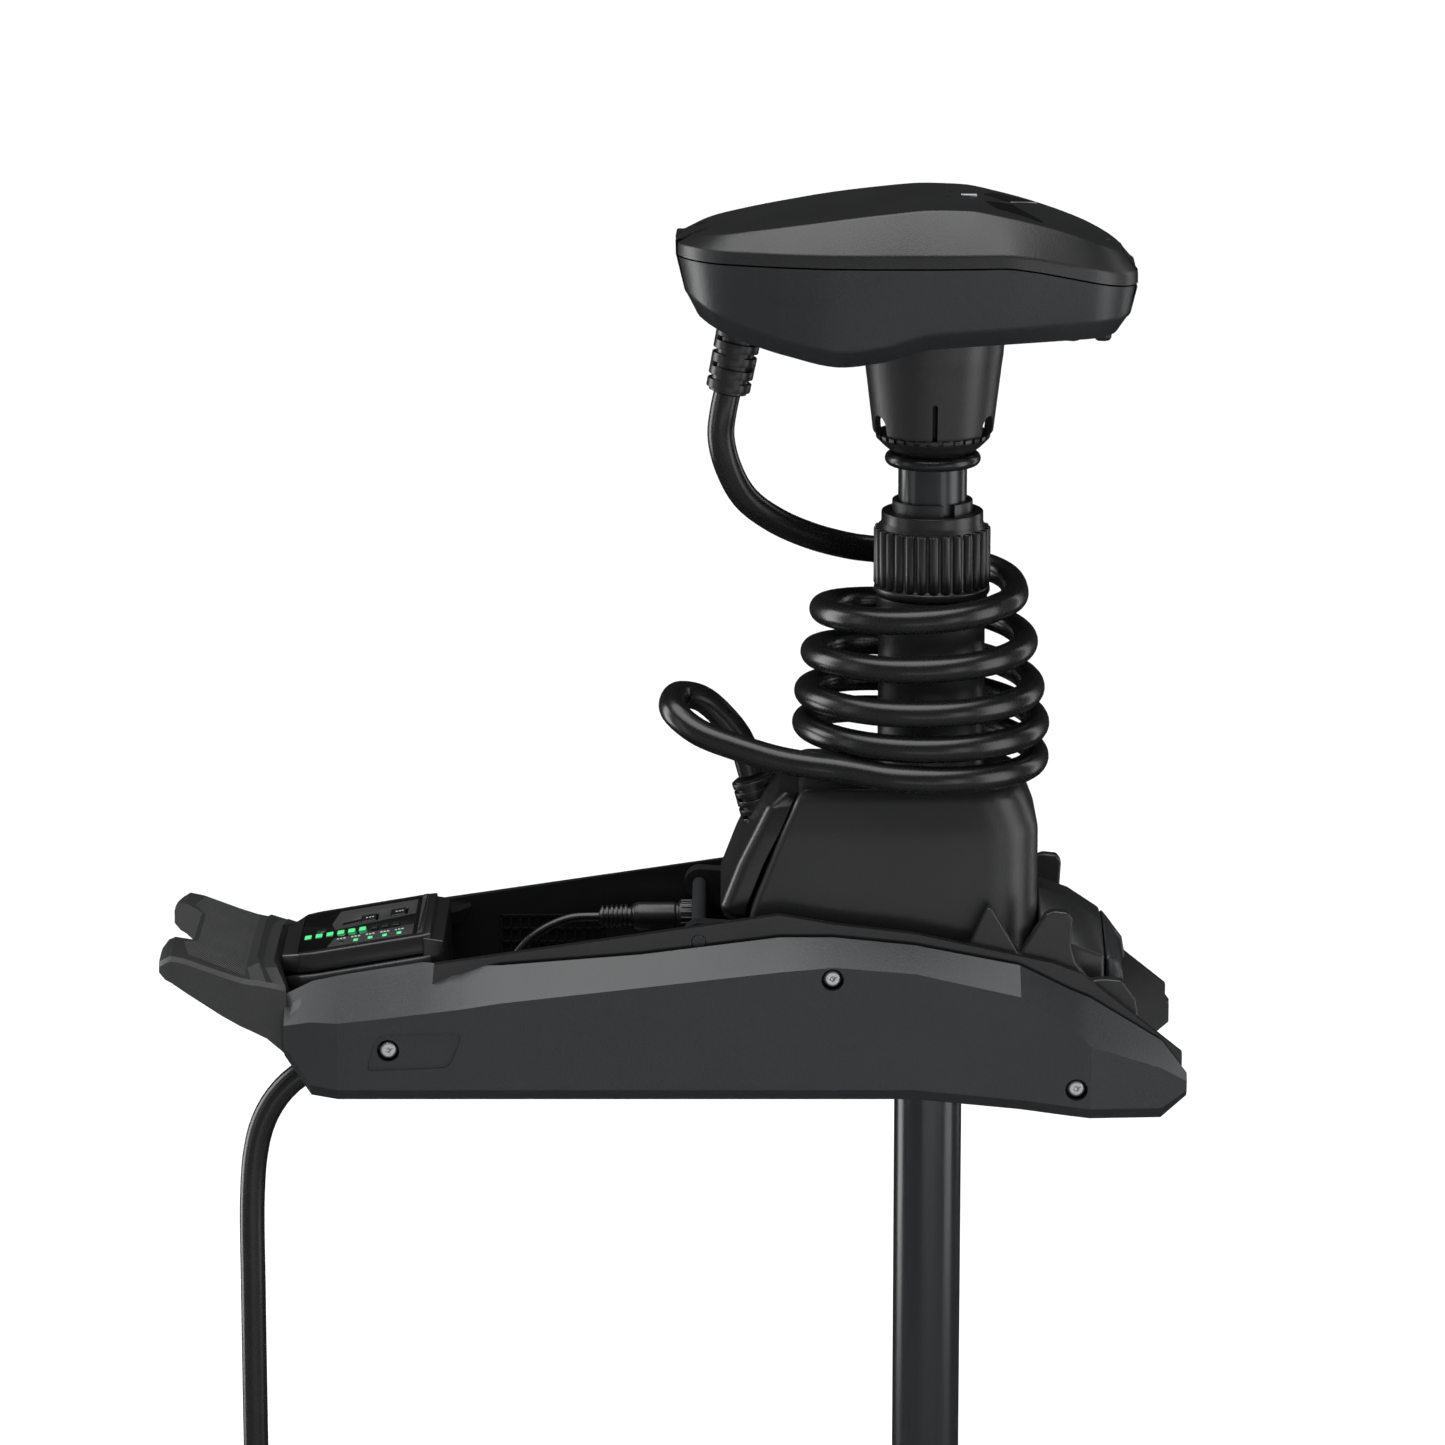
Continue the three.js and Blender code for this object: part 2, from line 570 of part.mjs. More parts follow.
// The nose stands on the front of the shell and is open at its back.
// Each station gives x, underside, ridge and shoulder heights, and the half width there.
function noseSolid(inset) {
  const front = NOSE_FRONT;
  const back = lineAt(HOUSING_STATIONS.map(([z, , x]) => [z, x]), 107) + GAP;
  const stations = [[back, 54, 115, 95, 56], [270, 54, 107.5, 88, 55], [front - 12, 54, 93.5, 80, 53],
    [front - 4, 56, 83, 76, 51], [front, 60, 70, 66, 48]];
  return loft(stations.map(([x, low, ridge, shoulder, half]) => [[-half, low], [half, low],
    [half, shoulder], [NOSE_RIDGE, ridge], [-NOSE_RIDGE, ridge], [-half, shoulder]]
    .map(([y, z]) => v3(x - inset, y * (1 - inset / half), z + (z > low ? -inset : inset)))));
}

const LOOP_GLAND = [v3(79, 12, 148), v3(69.5, 12, 181)];
function strainRelief(from, to, r) {
  const along = to.clone().sub(from);
  const at = (share) => from.clone().addScaledVector(along, share);
  return join(rod(from, to, r * 0.8, r * 0.8), rod(at(0), at(0.3), r), rod(at(0.4), at(0.62), r),
    rod(at(0.72), at(1), r, r * 0.94));
}

// One gear blank with involute flanks, its first tooth at the angle start.
function gearOutline(teeth, start) {
  const pitch = MODULE * teeth / 2;
  const base = pitch * Math.cos(THREE.MathUtils.degToRad(20));
  const [root, tip] = [pitch - 1.1 * MODULE, pitch + 0.7 * MODULE];
  const roll = (r) => Math.sqrt(Math.max(0, (r / base) ** 2 - 1));
  const involute = (r) => roll(r) - Math.atan(roll(r));
  const halfTooth = 0.42 * Math.PI / teeth; // less than half the pitch, for backlash
  const points = [];
  for (let k = 0; k < teeth; k++) {
    const middle = start + k * 2 * Math.PI / teeth;
    for (const side of [-1, 1]) {
      const flank = [root, pitch, tip];
      if (side > 0) flank.reverse();
      for (const r of flank) {
        const angle = middle + side * (halfTooth + involute(pitch) - involute(Math.max(r, base)));
        points.push([r * Math.cos(angle), r * Math.sin(angle)]);
      }
    }
  }
  return points;
}
function gear(teeth, start, x) {
  return moved(upright(gearOutline(teeth, start), GEAR_Z, GEAR_Z + GEAR_H), x, 0, 0);
}

function steering() {
  add('housing_shell', housingShell(), 'plastic');
  const pocket = box(20, 140, -40, 40, 112, 172);
  const lid = common(pocket, moved(coverSolid(-3), 3.4, 0, 0));
  const relief = strainRelief(...LOOP_GLAND, GLAND_R);
  add('housing_rear_cover', cut(coverSolid(0), lid, rodFromGland()), 'plastic');
  add('coil_gland', relief, 'rubber');
  add('housing_nose', cut(noseSolid(0), noseSolid(HOUSING_WALL)), 'plastic');

  const rim = HOUSING_TOP - HOUSING_PLATE - GAP;
  const tube = [[TUBE_IN, rim - 5], [FLANGE_R, rim - 5], [FLANGE_R, rim], [TUBE_OUT, rim],
    [TUBE_OUT, TUBE_TOP], [TUBE_IN, TUBE_TOP]];
  add('steering_tube', turned(tube), 'plastic');
  add('upper_bearing', ring(BEARING_IN, BEARING_OUT, TUBE_TOP - BEARING_H - 3, TUBE_TOP - 3), 'brass');
  add('lower_bearing', ring(BEARING_IN, BEARING_OUT, HOUSING_BOTTOM, HOUSING_BOTTOM + BEARING_H), 'brass');

  const foot = HOUSING_BOTTOM - GAP;
  const sleeve = [[SLEEVE_IN, foot - 4], [BEARING_OUT, foot - 4], [BEARING_OUT, foot],
    [SLEEVE_OUT, foot], [SLEEVE_OUT, TUBE_TOP], [SLEEVE_IN, TUBE_TOP]];
  add('steering_sleeve', turned(sleeve), 'painted');
  const hub = rodZ(SHAFT_X, 0, GEAR_Z - 1, GEAR_Z + GEAR_H + 1, SLEEVE_OUT + GAP, 32);
  add('steering_gear', cut(gear(RING_TEETH, 0, SHAFT_X), hub), 'brass');

  const spindleTop = GEAR_Z + GEAR_H + 22;
  const pinion = gear(PINION_TEETH, Math.PI / PINION_TEETH, PINION_X);
  add('steering_pinion', join(pinion, rodZ(PINION_X, 0, GEAR_Z, spindleTop, SPINDLE_R)), 'steel');

  const shelf = GEAR_Z + GEAR_H + 1.5;
  const slab = upright([[70, -90], [260, -90], [260, 90], [70, 90]], shelf, shelf + 3);
  const inside = housingSolid(HOUSING_WALL + GAP);
  const holes = [rodZ(SHAFT_X, 0, shelf - 1, shelf + 4, SLEEVE_OUT + 1, 32),
    rodZ(PINION_X, 0, shelf - 1, shelf + 4, SPINDLE_R + 1)];
  add('steering_gear_plate', cut(common(slab, inside), ...holes), 'painted');
  const seat = shelf + 3 + GAP;
  const drum = rodZ(PINION_X, 0, seat, seat + STEER_MOTOR_H, STEER_MOTOR_R, 28);
  const bore = rodZ(PINION_X, 0, seat - 1, spindleTop + 2, SPINDLE_R + GAP);
  add('steering_motor', cut(drum, bore), 'steel');
}

function rodFromGland() {
  const [from, to] = LOOP_GLAND;
  const start = from.clone().addScaledVector(to.clone().sub(from).normalize(), -GAP);
  return rod(start, to, GLAND_R + GAP, GLAND_R + GAP);
}

// ---------- depth collar ----------
function depthCollar() {
  const foot = NUT_FOOT;
  const shoulder = foot + NUT_H;
  const colletIn = SHAFT_R + GAP;
  const bore = NUT_R - NUT_WALL;
  const mouth = colletIn + COLLET_WALL + GAP;
  const nut = [[bore, foot], [NUT_R - 1, foot], [NUT_R, foot + 3], [NUT_R, shoulder - 8],
    [NUT_R - 2.5, shoulder - 2], [NUT_R - 4.6, shoulder], [NUT_R - 4.6, shoulder + 7],
    [mouth, shoulder + 7], [mouth, shoulder], [bore, shoulder - 8]];
  add('depth_collar_nut', turned(nut, SHAFT_X, 40), 'rubber');
  const body = [[colletIn, foot], [bore - GAP, foot], [bore - GAP, shoulder - 8 - GAP],
    [mouth - GAP, shoulder - GAP], [mouth - GAP, foot + COLLET_TOP], [colletIn, foot + COLLET_TOP]];
  const slot = moved(tidy(box(0, 60, -COLLET_SLOT / 2, COLLET_SLOT / 2, foot - 1, foot + COLLET_TOP + 1)
    .rotateZ(THREE.MathUtils.degToRad(-67))), SHAFT_X, 0, 0);
  add('depth_collet', cut(turned(body), slot), 'plastic');
}

// ---------- head ----------
// Stations: x, top, seam, underside, then the half widths there.
const HEAD_STATIONS = [
  [22, 527, 519, 494, 30, 40, 34], [31, 536, 519, 486, 36, 46, 40], [59, 541, 519, 470, 46, 58, 50],
  [90, 546, 519, 461, 54, 68, 58], [124, 551, 519, 455, 58, 74, 62], [149, 555, 519, 458, 58, 75, 62],
  [179, 559, 519, 467, 56, 75, 62], [222, 554, 519, 469, 52, 72, 60], [260, 543, 512, 470, 46, 62, 54],
  [297, 526, 503, 471, 36, 48, 42], [307, 515, 501, 478, 30, 42, 36]];

function headHalf(upper, inset, shrink = inset) {
  const last = HEAD_STATIONS.length - 1;
  return loft(HEAD_STATIONS.map(([x, top, seam, low, yTop, ySeam, yLow], i) => {
    const at = x + (i === 0 ? shrink : i === last ? -shrink : 0);
    const past = inset ? inset + 2 : 0; // the hollow runs out through the seam
    const edge = upper ? seam + GAP / 2 - past : seam - GAP / 2 + past;
    const [flat, wide] = upper ? [top - inset, yTop - shrink] : [low + inset, yLow - shrink];
    const side = ySeam - shrink;
    const mid = (flat + edge) / 2;
    const bulge = (wide + side * 1.15) / 2.1;
    return [[-side, edge], [-bulge, mid], [-wide, flat], [wide, flat], [bulge, mid], [side, edge]]
      .map(([y, z]) => v3(at, y, z));
  }));
}

const LEAD_GLAND = [v3(62.3, 0, 473), v3(53.7, 0, 429)];
const POST_PLACES = [[80, 34], [80, -34], [240, 34], [240, -34]];

function head() {
  const holes = [rodZ(SHAFT_X, 0, 440, 490, SHAFT_R + GAP, 32), rodFromLead()];
  const posts = POST_PLACES.map(([x, y]) =>
    common(rodZ(x, y, 440, BOARD_Z - GAP, POST_R, 12), headHalf(false, 0)));
  const shell = cut(headHalf(false, 0), headHalf(false, HEAD_WALL));
  add('head_base', cut(join(shell, ...posts), ...holes), 'panel');
  add('head_cover', cut(headHalf(true, 0), headHalf(true, HEAD_WALL)), 'plastic');
  add('head_circuit_board', box(66, 262, -42, 42, BOARD_Z, BOARD_Z + BOARD_T), 'board');
  add('head_gland', strainRelief(...LEAD_GLAND, GLAND_R), 'rubber');

  const cone = turned([[NECK_LOW_R - NECK_WALL, NECK_LOW_Z], [NECK_LOW_R, NECK_LOW_Z],
    [NECK_TOP_R, 450], [NECK_TOP_R + 1, 480], [NECK_TOP_R + 1 - NECK_WALL, 480],
    [NECK_TOP_R - NECK_WALL, 450]], SHAFT_X, 40);
  const notches = [box(SHAFT_X - 60, SHAFT_X + 60, -8, 8, NECK_LOW_Z - 1, NECK_LOW_Z + 15),
    box(SHAFT_X - 1.4, SHAFT_X + 1.4, -60, 0, NECK_LOW_Z - 1, NECK_LOW_Z + 24)];
  const seat = moved(headHalf(false, 0), 0, 0, -GAP);
  add('head_neck', cut(cone, seat, moved(headHalf(false, 0), 0, 0, 8), ...notches), 'plastic');

  const clamp = SHAFT_R + GAP;
  const low = NECK_LOW_Z - GAP;
  add('neck_lock_ring', turned([[clamp, low - 12], [NECK_LOW_R - 12, low - 12], [NECK_LOW_R - 1.5, low - 4],
    [NECK_LOW_R - 1.5, low], [clamp, low]], SHAFT_X, 36), 'rubber');
  const oRing = [];
  const [middle, r] = [low - 12 - GAP - 4.4, 4.2];
  for (let i = 0; i < 10; i++) {
    const a = i * Math.PI / 5;
    oRing.push([SHAFT_R + GAP + r + r * Math.cos(a), middle + r * Math.sin(a)]);
  }
  add('shaft_o_ring', turned(oRing), 'rubber');
}

function rodFromLead() {
  const [from, to] = LEAD_GLAND;
  const start = from.clone().addScaledVector(to.clone().sub(from).normalize(), -GAP);
  return rod(start, to, GLAND_R + GAP, GLAND_R + GAP);
}

// ---------- cords ----------
const LEAD_POINTS = [[53.6, 0, 428.6], [51.4, 0, 418], [49.8, 2, 402], [53.9, 6, 382], [64.8, 14, 360],
  [82.5, 24, 344], [106.8, 36, 330.5], [132, 46, 321.8], [147, 50, 319], [165, 53, 316.2], [186, 54, 314]];
const LOOP_POINTS = [
  [124, -63, 203.4], [107, -61, 205], [85.3, -57, 208], [60.8, -52, 214.3], [36.2, -44, 222.2],
  [21.7, -30, 230.7], [19.4, -12, 233.8], [24.2, 5, 235], [37.8, 12, 230.5], [52.4, 13, 217.2],
  [62.5, 12.5, 203], [69.3, 12, 181.6]];
const POWER_POINTS = [[-212.5, -30, -1.4], [-222.2, -30, -8.5], [-232.5, -30, -20], [-241, -30, -36],
  [-246, -30, -56], [-248.5, -30, -85], [-249, -30, -150], [-249, -30, -400], [-249, -30, -650],
  [-249, -30, -895]];
const POWER_EXIT = [v3(-184, -30, 19.5), v3(-212, -30, -1)];
const PLUG_LENGTH = 62;

function cords() {
  add('coil_cord_lead', cordTube(LEAD_POINTS, CORD_R), 'rubber');
  const low = HOUSING_TOP + 0.6;
  add('coil_cord_coil', turned([[COIL_IN, low], [COIL_LOW_R + CORD_R, low],
    [COIL_TOP_R + CORD_R, COIL_TOP], [COIL_IN, COIL_TOP]], COIL_X, 36), 'rubber');
  const clear = turned([[COIL_IN - 2, low - GAP], [COIL_LOW_R + CORD_R + GAP, low - GAP],
    [COIL_TOP_R + CORD_R + GAP, COIL_TOP + GAP], [COIL_IN - 2, COIL_TOP + GAP]], COIL_X, 36);
  add('coil_cord_loop', cut(cordTube(LOOP_POINTS, CORD_R), clear), 'rubber');

  const past = box(BASE_REAR - 1.8, BASE_REAR + 40, -60, 0, -20, 60);
  add('power_cord_gland', cut(strainRelief(...POWER_EXIT, POWER_R + 3), past), 'rubber');
  add('power_cord', cordTube(POWER_POINTS, POWER_R), 'rubber');
  const [x, y, z] = POWER_POINTS.at(-1);
  const foot = z - GAP - PLUG_LENGTH;
  const pins = [-8, 8].map((side) => rodZ(x + side, y, foot - 16, foot + 4, 3.2, 12));
  add('power_plug', join(rodZ(x, y, foot, z - GAP - 18, 21), rod(v3(x, y, z - GAP - 20),
    v3(x, y, z - GAP), 18, POWER_R + 2.5), ...pins), 'rubber');
}

// The coupling in the trough, and the cable that leaves it for the console.
function coupling() {
  const { y, z, r, rear, front } = COUPLER;
  const alongX = (x0, x1, r0, r1) => rod(v3(x0, y, z), v3(x1, y, z), r0, r1);
  add('cable_connector', join(alongX(rear, -6, 6, 7.5), alongX(-8, 22, r, r),
    alongX(20, 34, r + 1.2, r + 1.2),
    alongX(33, front, r - 1, r - 1)), 'rubber');
  const route = [[rear - 0.5, y, z], [rear - 20, y, z - 1.5], [rear - 42, y - 2, z - 12],
    [rear - 58, y - 6, z - 30], [rear - 68, y - 10, z - 48], [rear - 80, y - 11, 18.5],
    [rear - 92, y - 11, 16],
    [-131.1, y - 11, 16]];
  add('connector_cable', cordTube(route, 3, 8), 'rubber');
}

// ---------- lower unit ----------
function lowerUnit() {
  add('shaft_tube', ring(SHAFT_R - SHAFT_WALL, SHAFT_R, SHAFT_BOTTOM, SHAFT_TOP, 40), 'shaft');
  const inside = MOTOR_R - MOTOR_WALL;
  const can = turnedX([[inside, MOTOR_REAR], [MOTOR_R, MOTOR_REAR], [MOTOR_R, MOTOR_FRONT],
    [inside, MOTOR_FRONT]]);
  const core = turnedX([[0, MOTOR_REAR - 1], [inside, MOTOR_REAR - 1], [inside, MOTOR_FRONT + 1],
    [0, MOTOR_FRONT + 1]]);
  const socket = cut(turned([[0, MOTOR_Z], [SOCKET_R + 8, MOTOR_Z], [SOCKET_R + 8, MOTOR_Z + MOTOR_R],
    [SOCKET_R, MOTOR_Z + MOTOR_R + 8], [SOCKET_R - 2, SHAFT_BOTTOM + 40], [0, SHAFT_BOTTOM + 40]]), core);
  const bore = rodZ(SHAFT_X, 0, SHAFT_BOTTOM - GAP, SHAFT_BOTTOM + 50, SHAFT_R + GAP, 40);
  const wires = rodZ(SHAFT_X, 0, MOTOR_Z + 20, SHAFT_BOTTOM + 5, SHAFT_R - SHAFT_WALL - 6, 16);
  add('motor_housing', cut(join(can, socket), bore, wires), 'painted');

  const nose = [[0, MOTOR_FRONT + GAP]];
  for (let i = 0; i <= 8; i++) {
    const a = i * Math.PI / 16;
    nose.push([MOTOR_R * Math.cos(a), MOTOR_FRONT + GAP + NOSE_LENGTH * Math.sin(a)]);
  }
  nose[nose.length - 1][0] = 0;
  add('motor_nose_cone', turnedX(nose), 'plastic');
  const rear = MOTOR_REAR - GAP;
  const shaftBore = MOTOR_SHAFT_R + GAP;
  add('motor_tail_cap', turnedX([[shaftBore, rear], [MOTOR_R, rear], [MOTOR_R - 4, rear - 16],
    [PROP_HUB_R + 3, rear - TAIL_LENGTH], [shaftBore, rear - TAIL_LENGTH]]), 'painted');
  add('motor_stator', turnedX([[ROTOR_R + 1.5, MOTOR_REAR + 14], [inside - GAP, MOTOR_REAR + 14],
    [inside - GAP, MOTOR_FRONT - 14], [ROTOR_R + 1.5, MOTOR_FRONT - 14]]), 'copper');
  const thin = MOTOR_SHAFT_R;
  add('motor_rotor', turnedX([[0, PROP_X[0] - 14], [thin, PROP_X[0] - 14], [thin, MOTOR_REAR + 18],
    [ROTOR_R, MOTOR_REAR + 18], [ROTOR_R, MOTOR_FRONT - 18], [thin, MOTOR_FRONT - 18],
    [thin, MOTOR_FRONT - 4], [0, MOTOR_FRONT - 4]]), 'steel');

  const low = MOTOR_Z - MOTOR_R;
  const fin = sideways([[118, MOTOR_Z], [240, MOTOR_Z], [232, low - 8], [196, low - SKEG_DROP],
    [160, low - SKEG_DROP], [138, low - 30]], -4, 4);
  const round = turnedX([[0, 60], [MOTOR_R + GAP, 60], [MOTOR_R + GAP, 320], [0, 320]], 64);
  add('skeg_fin', cut(fin, round), 'plastic');
}

// A blade is a loft of thin slanted sections from the hub out.
function blade(turn) {
  const middle = (PROP_X[0] + PROP_X[1]) / 2;
  const rings = [];
  for (let i = 0; i <= 7; i++) {
    const share = i / 7;
    const r = PROP_HUB_R - 8 + (PROP_R - PROP_HUB_R + 8) * share;
    const chord = 66 * Math.sqrt(1 - 0.86 * share ** 4) * (0.72 + 0.5 * share);
    const pitch = THREE.MathUtils.degToRad(62 - 42 * share);
    const sweep = -20 * share ** 2;
    const section = [[-0.5, 0], [-0.2, 0.045], [0.2, 0.04], [0.5, 0], [0.2, -0.02], [-0.2, -0.02]];
    rings.push(section.map(([c, t]) => {
      const [along, off] = [c * chord + sweep, t * chord];
      const x = middle + Math.sin(pitch) * along * 0.62 + Math.cos(pitch) * off;
      const across = Math.cos(pitch) * along - Math.sin(pitch) * off;
      return v3(x, across, r);
    }));
  }
  return tidy(loft(rings).rotateX(turn).translate(0, 0, MOTOR_Z));
}

function propeller() {
  const [rear, front] = PROP_X;
  const bore = MOTOR_SHAFT_R + GAP;
  const hub = turnedX([[0, rear], [PROP_HUB_R - 8, rear], [PROP_HUB_R - 2, rear + 12],
    [PROP_HUB_R, front], [0, front]]);
  const hole = turnedX([[0, rear - 5], [bore, rear - 5], [bore, front + 5], [0, front + 5]]);
  add('propeller', cut(join(hub, blade(0), blade(Math.PI)), hole), 'plastic');
  const nut = turnedX([[0, rear - GAP - 10], [12, rear - GAP - 10], [12, rear - GAP], [0, rear - GAP]], 6);
  add('prop_nut', cut(nut, moved(hole, -15, 0, 0)), 'steel');
}

deckMount();
displayConsole();
footPedal();
steering();
depthCollar();
head();
cords();
coupling();
lowerUnit();
propeller();

export default model;
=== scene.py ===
import math

import bmesh
import bpy
from mathutils import Matrix, Vector


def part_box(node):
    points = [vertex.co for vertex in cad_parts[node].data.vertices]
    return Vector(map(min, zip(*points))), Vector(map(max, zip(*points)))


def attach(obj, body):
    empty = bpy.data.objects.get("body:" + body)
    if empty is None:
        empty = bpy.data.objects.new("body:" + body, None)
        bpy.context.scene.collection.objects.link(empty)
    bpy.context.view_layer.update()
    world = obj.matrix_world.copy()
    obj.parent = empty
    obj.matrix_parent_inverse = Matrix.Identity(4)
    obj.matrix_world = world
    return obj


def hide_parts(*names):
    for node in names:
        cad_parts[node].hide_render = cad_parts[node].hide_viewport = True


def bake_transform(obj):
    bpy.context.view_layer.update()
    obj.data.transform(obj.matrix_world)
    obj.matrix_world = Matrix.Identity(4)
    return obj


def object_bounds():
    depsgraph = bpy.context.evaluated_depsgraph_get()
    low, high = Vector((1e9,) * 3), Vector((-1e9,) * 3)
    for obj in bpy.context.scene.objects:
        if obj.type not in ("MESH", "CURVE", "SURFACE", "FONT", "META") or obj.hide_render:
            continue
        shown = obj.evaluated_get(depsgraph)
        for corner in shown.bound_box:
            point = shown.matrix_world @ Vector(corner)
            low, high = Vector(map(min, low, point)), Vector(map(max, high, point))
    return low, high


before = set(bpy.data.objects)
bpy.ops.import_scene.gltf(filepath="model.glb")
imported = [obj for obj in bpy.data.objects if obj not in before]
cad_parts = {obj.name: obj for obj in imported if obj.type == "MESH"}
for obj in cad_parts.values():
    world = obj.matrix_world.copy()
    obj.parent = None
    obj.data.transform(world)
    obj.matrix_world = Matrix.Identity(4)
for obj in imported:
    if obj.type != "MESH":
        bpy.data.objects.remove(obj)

cadBox = [list(corner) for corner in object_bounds()]
mm = 0.001  # the dictionaries hold millimetres, and addMesh turns them into metres
print("frame loaded:", len(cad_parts), "nodes")


# node trees

class Value:  # a socket that can stand in a sum
    def __init__(self, graph, socket):
        self.graph = graph
        self.socket = socket

    def sum(self, operation, first, second):
        return self.graph.node("ShaderNodeMath", {"operation": operation}, {0: first, 1: second})

    def __add__(self, other):
        return self.sum("ADD", self, other)

    def __mul__(self, other):
        return self.sum("MULTIPLY", self, other)

    def __pow__(self, other):
        return self.sum("POWER", self, other)

    __radd__ = __add__
    __rmul__ = __mul__


class Graph:  # any node tree
    def __init__(self, tree):
        self.tree = tree

    def node(self, kind, settings=None, sockets=None, out=0):
        made = self.tree.nodes.new(kind)
        for name, value in (settings or {}).items():
            if name == "stops":
                self.stops(made.color_ramp, value)
            else:
                setattr(made, name, value)
        for key, value in (sockets or {}).items():
            if isinstance(value, Value):
                self.tree.links.new(value.socket, made.inputs[key])
            else:
                made.inputs[key].default_value = value
        return Value(self, made.outputs[out]) if len(made.outputs) else made

    def stops(self, ramp, stops):
        while len(ramp.elements) < len(stops):
            ramp.elements.new(0.5)
        for element, (place, grey) in zip(ramp.elements, stops):
            element.position = place
            element.color = (grey, grey, grey, 1)

    def mix(self, share, first, second):
        return self.node("ShaderNodeMix", {"data_type": "RGBA"}, {0: share, 6: first, 7: second}, 2)


def shade(colour, times=1.0):
    return tuple(min(1, c * times) for c in colour) + (1,)


def paint(name, rough, constants, colour=None, height=None, relief=0.0, **links):
    # a Principled surface: constants set on its sockets, whatever varies linked
    material = bpy.data.materials.new(name)
    material.use_nodes = True
    graph = Graph(material.node_tree)
    graph.tree.nodes.clear()
    place = graph.node("ShaderNodeTexCoord", out="Object")
    made = {"Roughness": rough(graph, place), "Base Color": colour(graph, place), **constants}
    if height:
        made["Normal"] = graph.node("ShaderNodeBump", {}, {
            "Strength": relief, "Distance": 0.0004, "Height": height(graph, place)})
    made.update({key.replace("_", " "): value for key, value in links.items()})
    surface = graph.node("ShaderNodeBsdfPrincipled", {}, made)
    graph.node("ShaderNodeOutputMaterial", {}, {"Surface": surface})
    return material


def noise(graph, place, scale, detail=3.0, stretch=None):
    if stretch:
        place = graph.node("ShaderNodeMapping", {}, {"Vector": place, "Scale": stretch})
    return graph.node("ShaderNodeTexNoise", {}, {"Vector": place, "Scale": scale, "Detail": detail})


def moulded(name, base, rough, grain=1500, relief=0.25, gloss=0.4):
    # plastic with a fine moulded grain, slight flow marks and a little handling shine
    def tone(graph, place):
        cloudy = noise(graph, place, 14, 4)
        speck = noise(graph, place, grain * 0.6, 2)
        return graph.mix(cloudy * 0.7 + speck * 0.3, shade(base, 0.78), shade(base, 1.22))

    def sheen(graph, place):
        return noise(graph, place, 22, 4) * 0.1 + noise(graph, place, grain, 2) * 0.08 + (rough - 0.09)

    def bumps(graph, place):
        return noise(graph, place, grain, 3) + noise(graph, place, grain * 0.35, 2) * 0.6

    return paint(name, sheen, {"Specular IOR Level": gloss}, tone, bumps, relief)


def satinRubber(name, base, rough):
    def tone(graph, place):
        return graph.mix(noise(graph, place, 40, 5), shade(base, 0.7), shade(base, 1.35))

    def sheen(graph, place):
        return noise(graph, place, 60, 5) * 0.05 + noise(graph, place, 900, 2) * 0.04 + (rough - 0.045)

    def bumps(graph, place):
        return noise(graph, place, 900, 3)

    return paint(name, sheen, {"Specular IOR Level": 0.5}, tone, bumps, 0.05)


def brushed(name, base, rough, stretch):
    def tone(graph, place):
        return graph.mix(noise(graph, place, 300, 5, stretch), shade(base, 0.75), shade(base, 1.15))

    def sheen(graph, place):
        return noise(graph, place, 500, 4, stretch) * 0.2 + (rough - 0.1)

    def bumps(graph, place):
        return noise(graph, place, 700, 3, stretch)

    return paint(name, sheen, {"Metallic": 1.0}, tone, bumps, 0.15)


def wound(name, base, rough, stretch):
    # the shaft's composite: fine lines along it, a soft sheen
    def tone(graph, place):
        return graph.mix(noise(graph, place, 200, 4, stretch), shade(base, 0.8), shade(base, 1.25))

    def sheen(graph, place):
        return noise(graph, place, 260, 4, stretch) * 0.12 + noise(graph, place, 18,
                                                                   3) * 0.06 + (rough - 0.09)

    def bumps(graph, place):
        return noise(graph, place, 420, 3, stretch)

    return paint(name, sheen, {"Specular IOR Level": 0.5, "Coat Roughness": 0.3}, tone, bumps, 0.12)


def glossy(name, base, rough):
    def tone(graph, place):
        return graph.mix(noise(graph, place, 30, 2), shade(base, 0.8), shade(base, 1.2))

    def sheen(graph, place):
        return noise(graph, place, 90, 6) ** 2 * 0.12 + rough

    return paint(name, sheen, {"Specular IOR Level": 0.5}, tone)


def glowing(name, base, power):
    # a moulded light pipe, a little brighter at its middle
    def tone(graph, place):
        return graph.mix(noise(graph, place, 900, 2), shade(base, 0.75), shade(base, 1.1))

    def sheen(graph, place):
        return noise(graph, place, 500, 2) * 0.15 + 0.25

    return paint(name, sheen, {"Emission Color": shade(base), "Emission Strength": power}, tone)


def castCore(name, dark, light):
    # laminations with varnished copper between them
    def tone(graph, place):
        bands = graph.node("ShaderNodeTexWave", {"bands_direction": "X"}, {
            "Vector": place, "Scale": 220.0, "Distortion": 1.5, "Detail": 2.0}, 1)
        return graph.mix(bands, shade(dark), shade(light))

    def sheen(graph, place):
        return noise(graph, place, 120, 4) * 0.3 + 0.3

    return paint(name, sheen, {"Metallic": 0.7}, tone, lambda g, p: noise(g, p, 400, 3), 0.3)


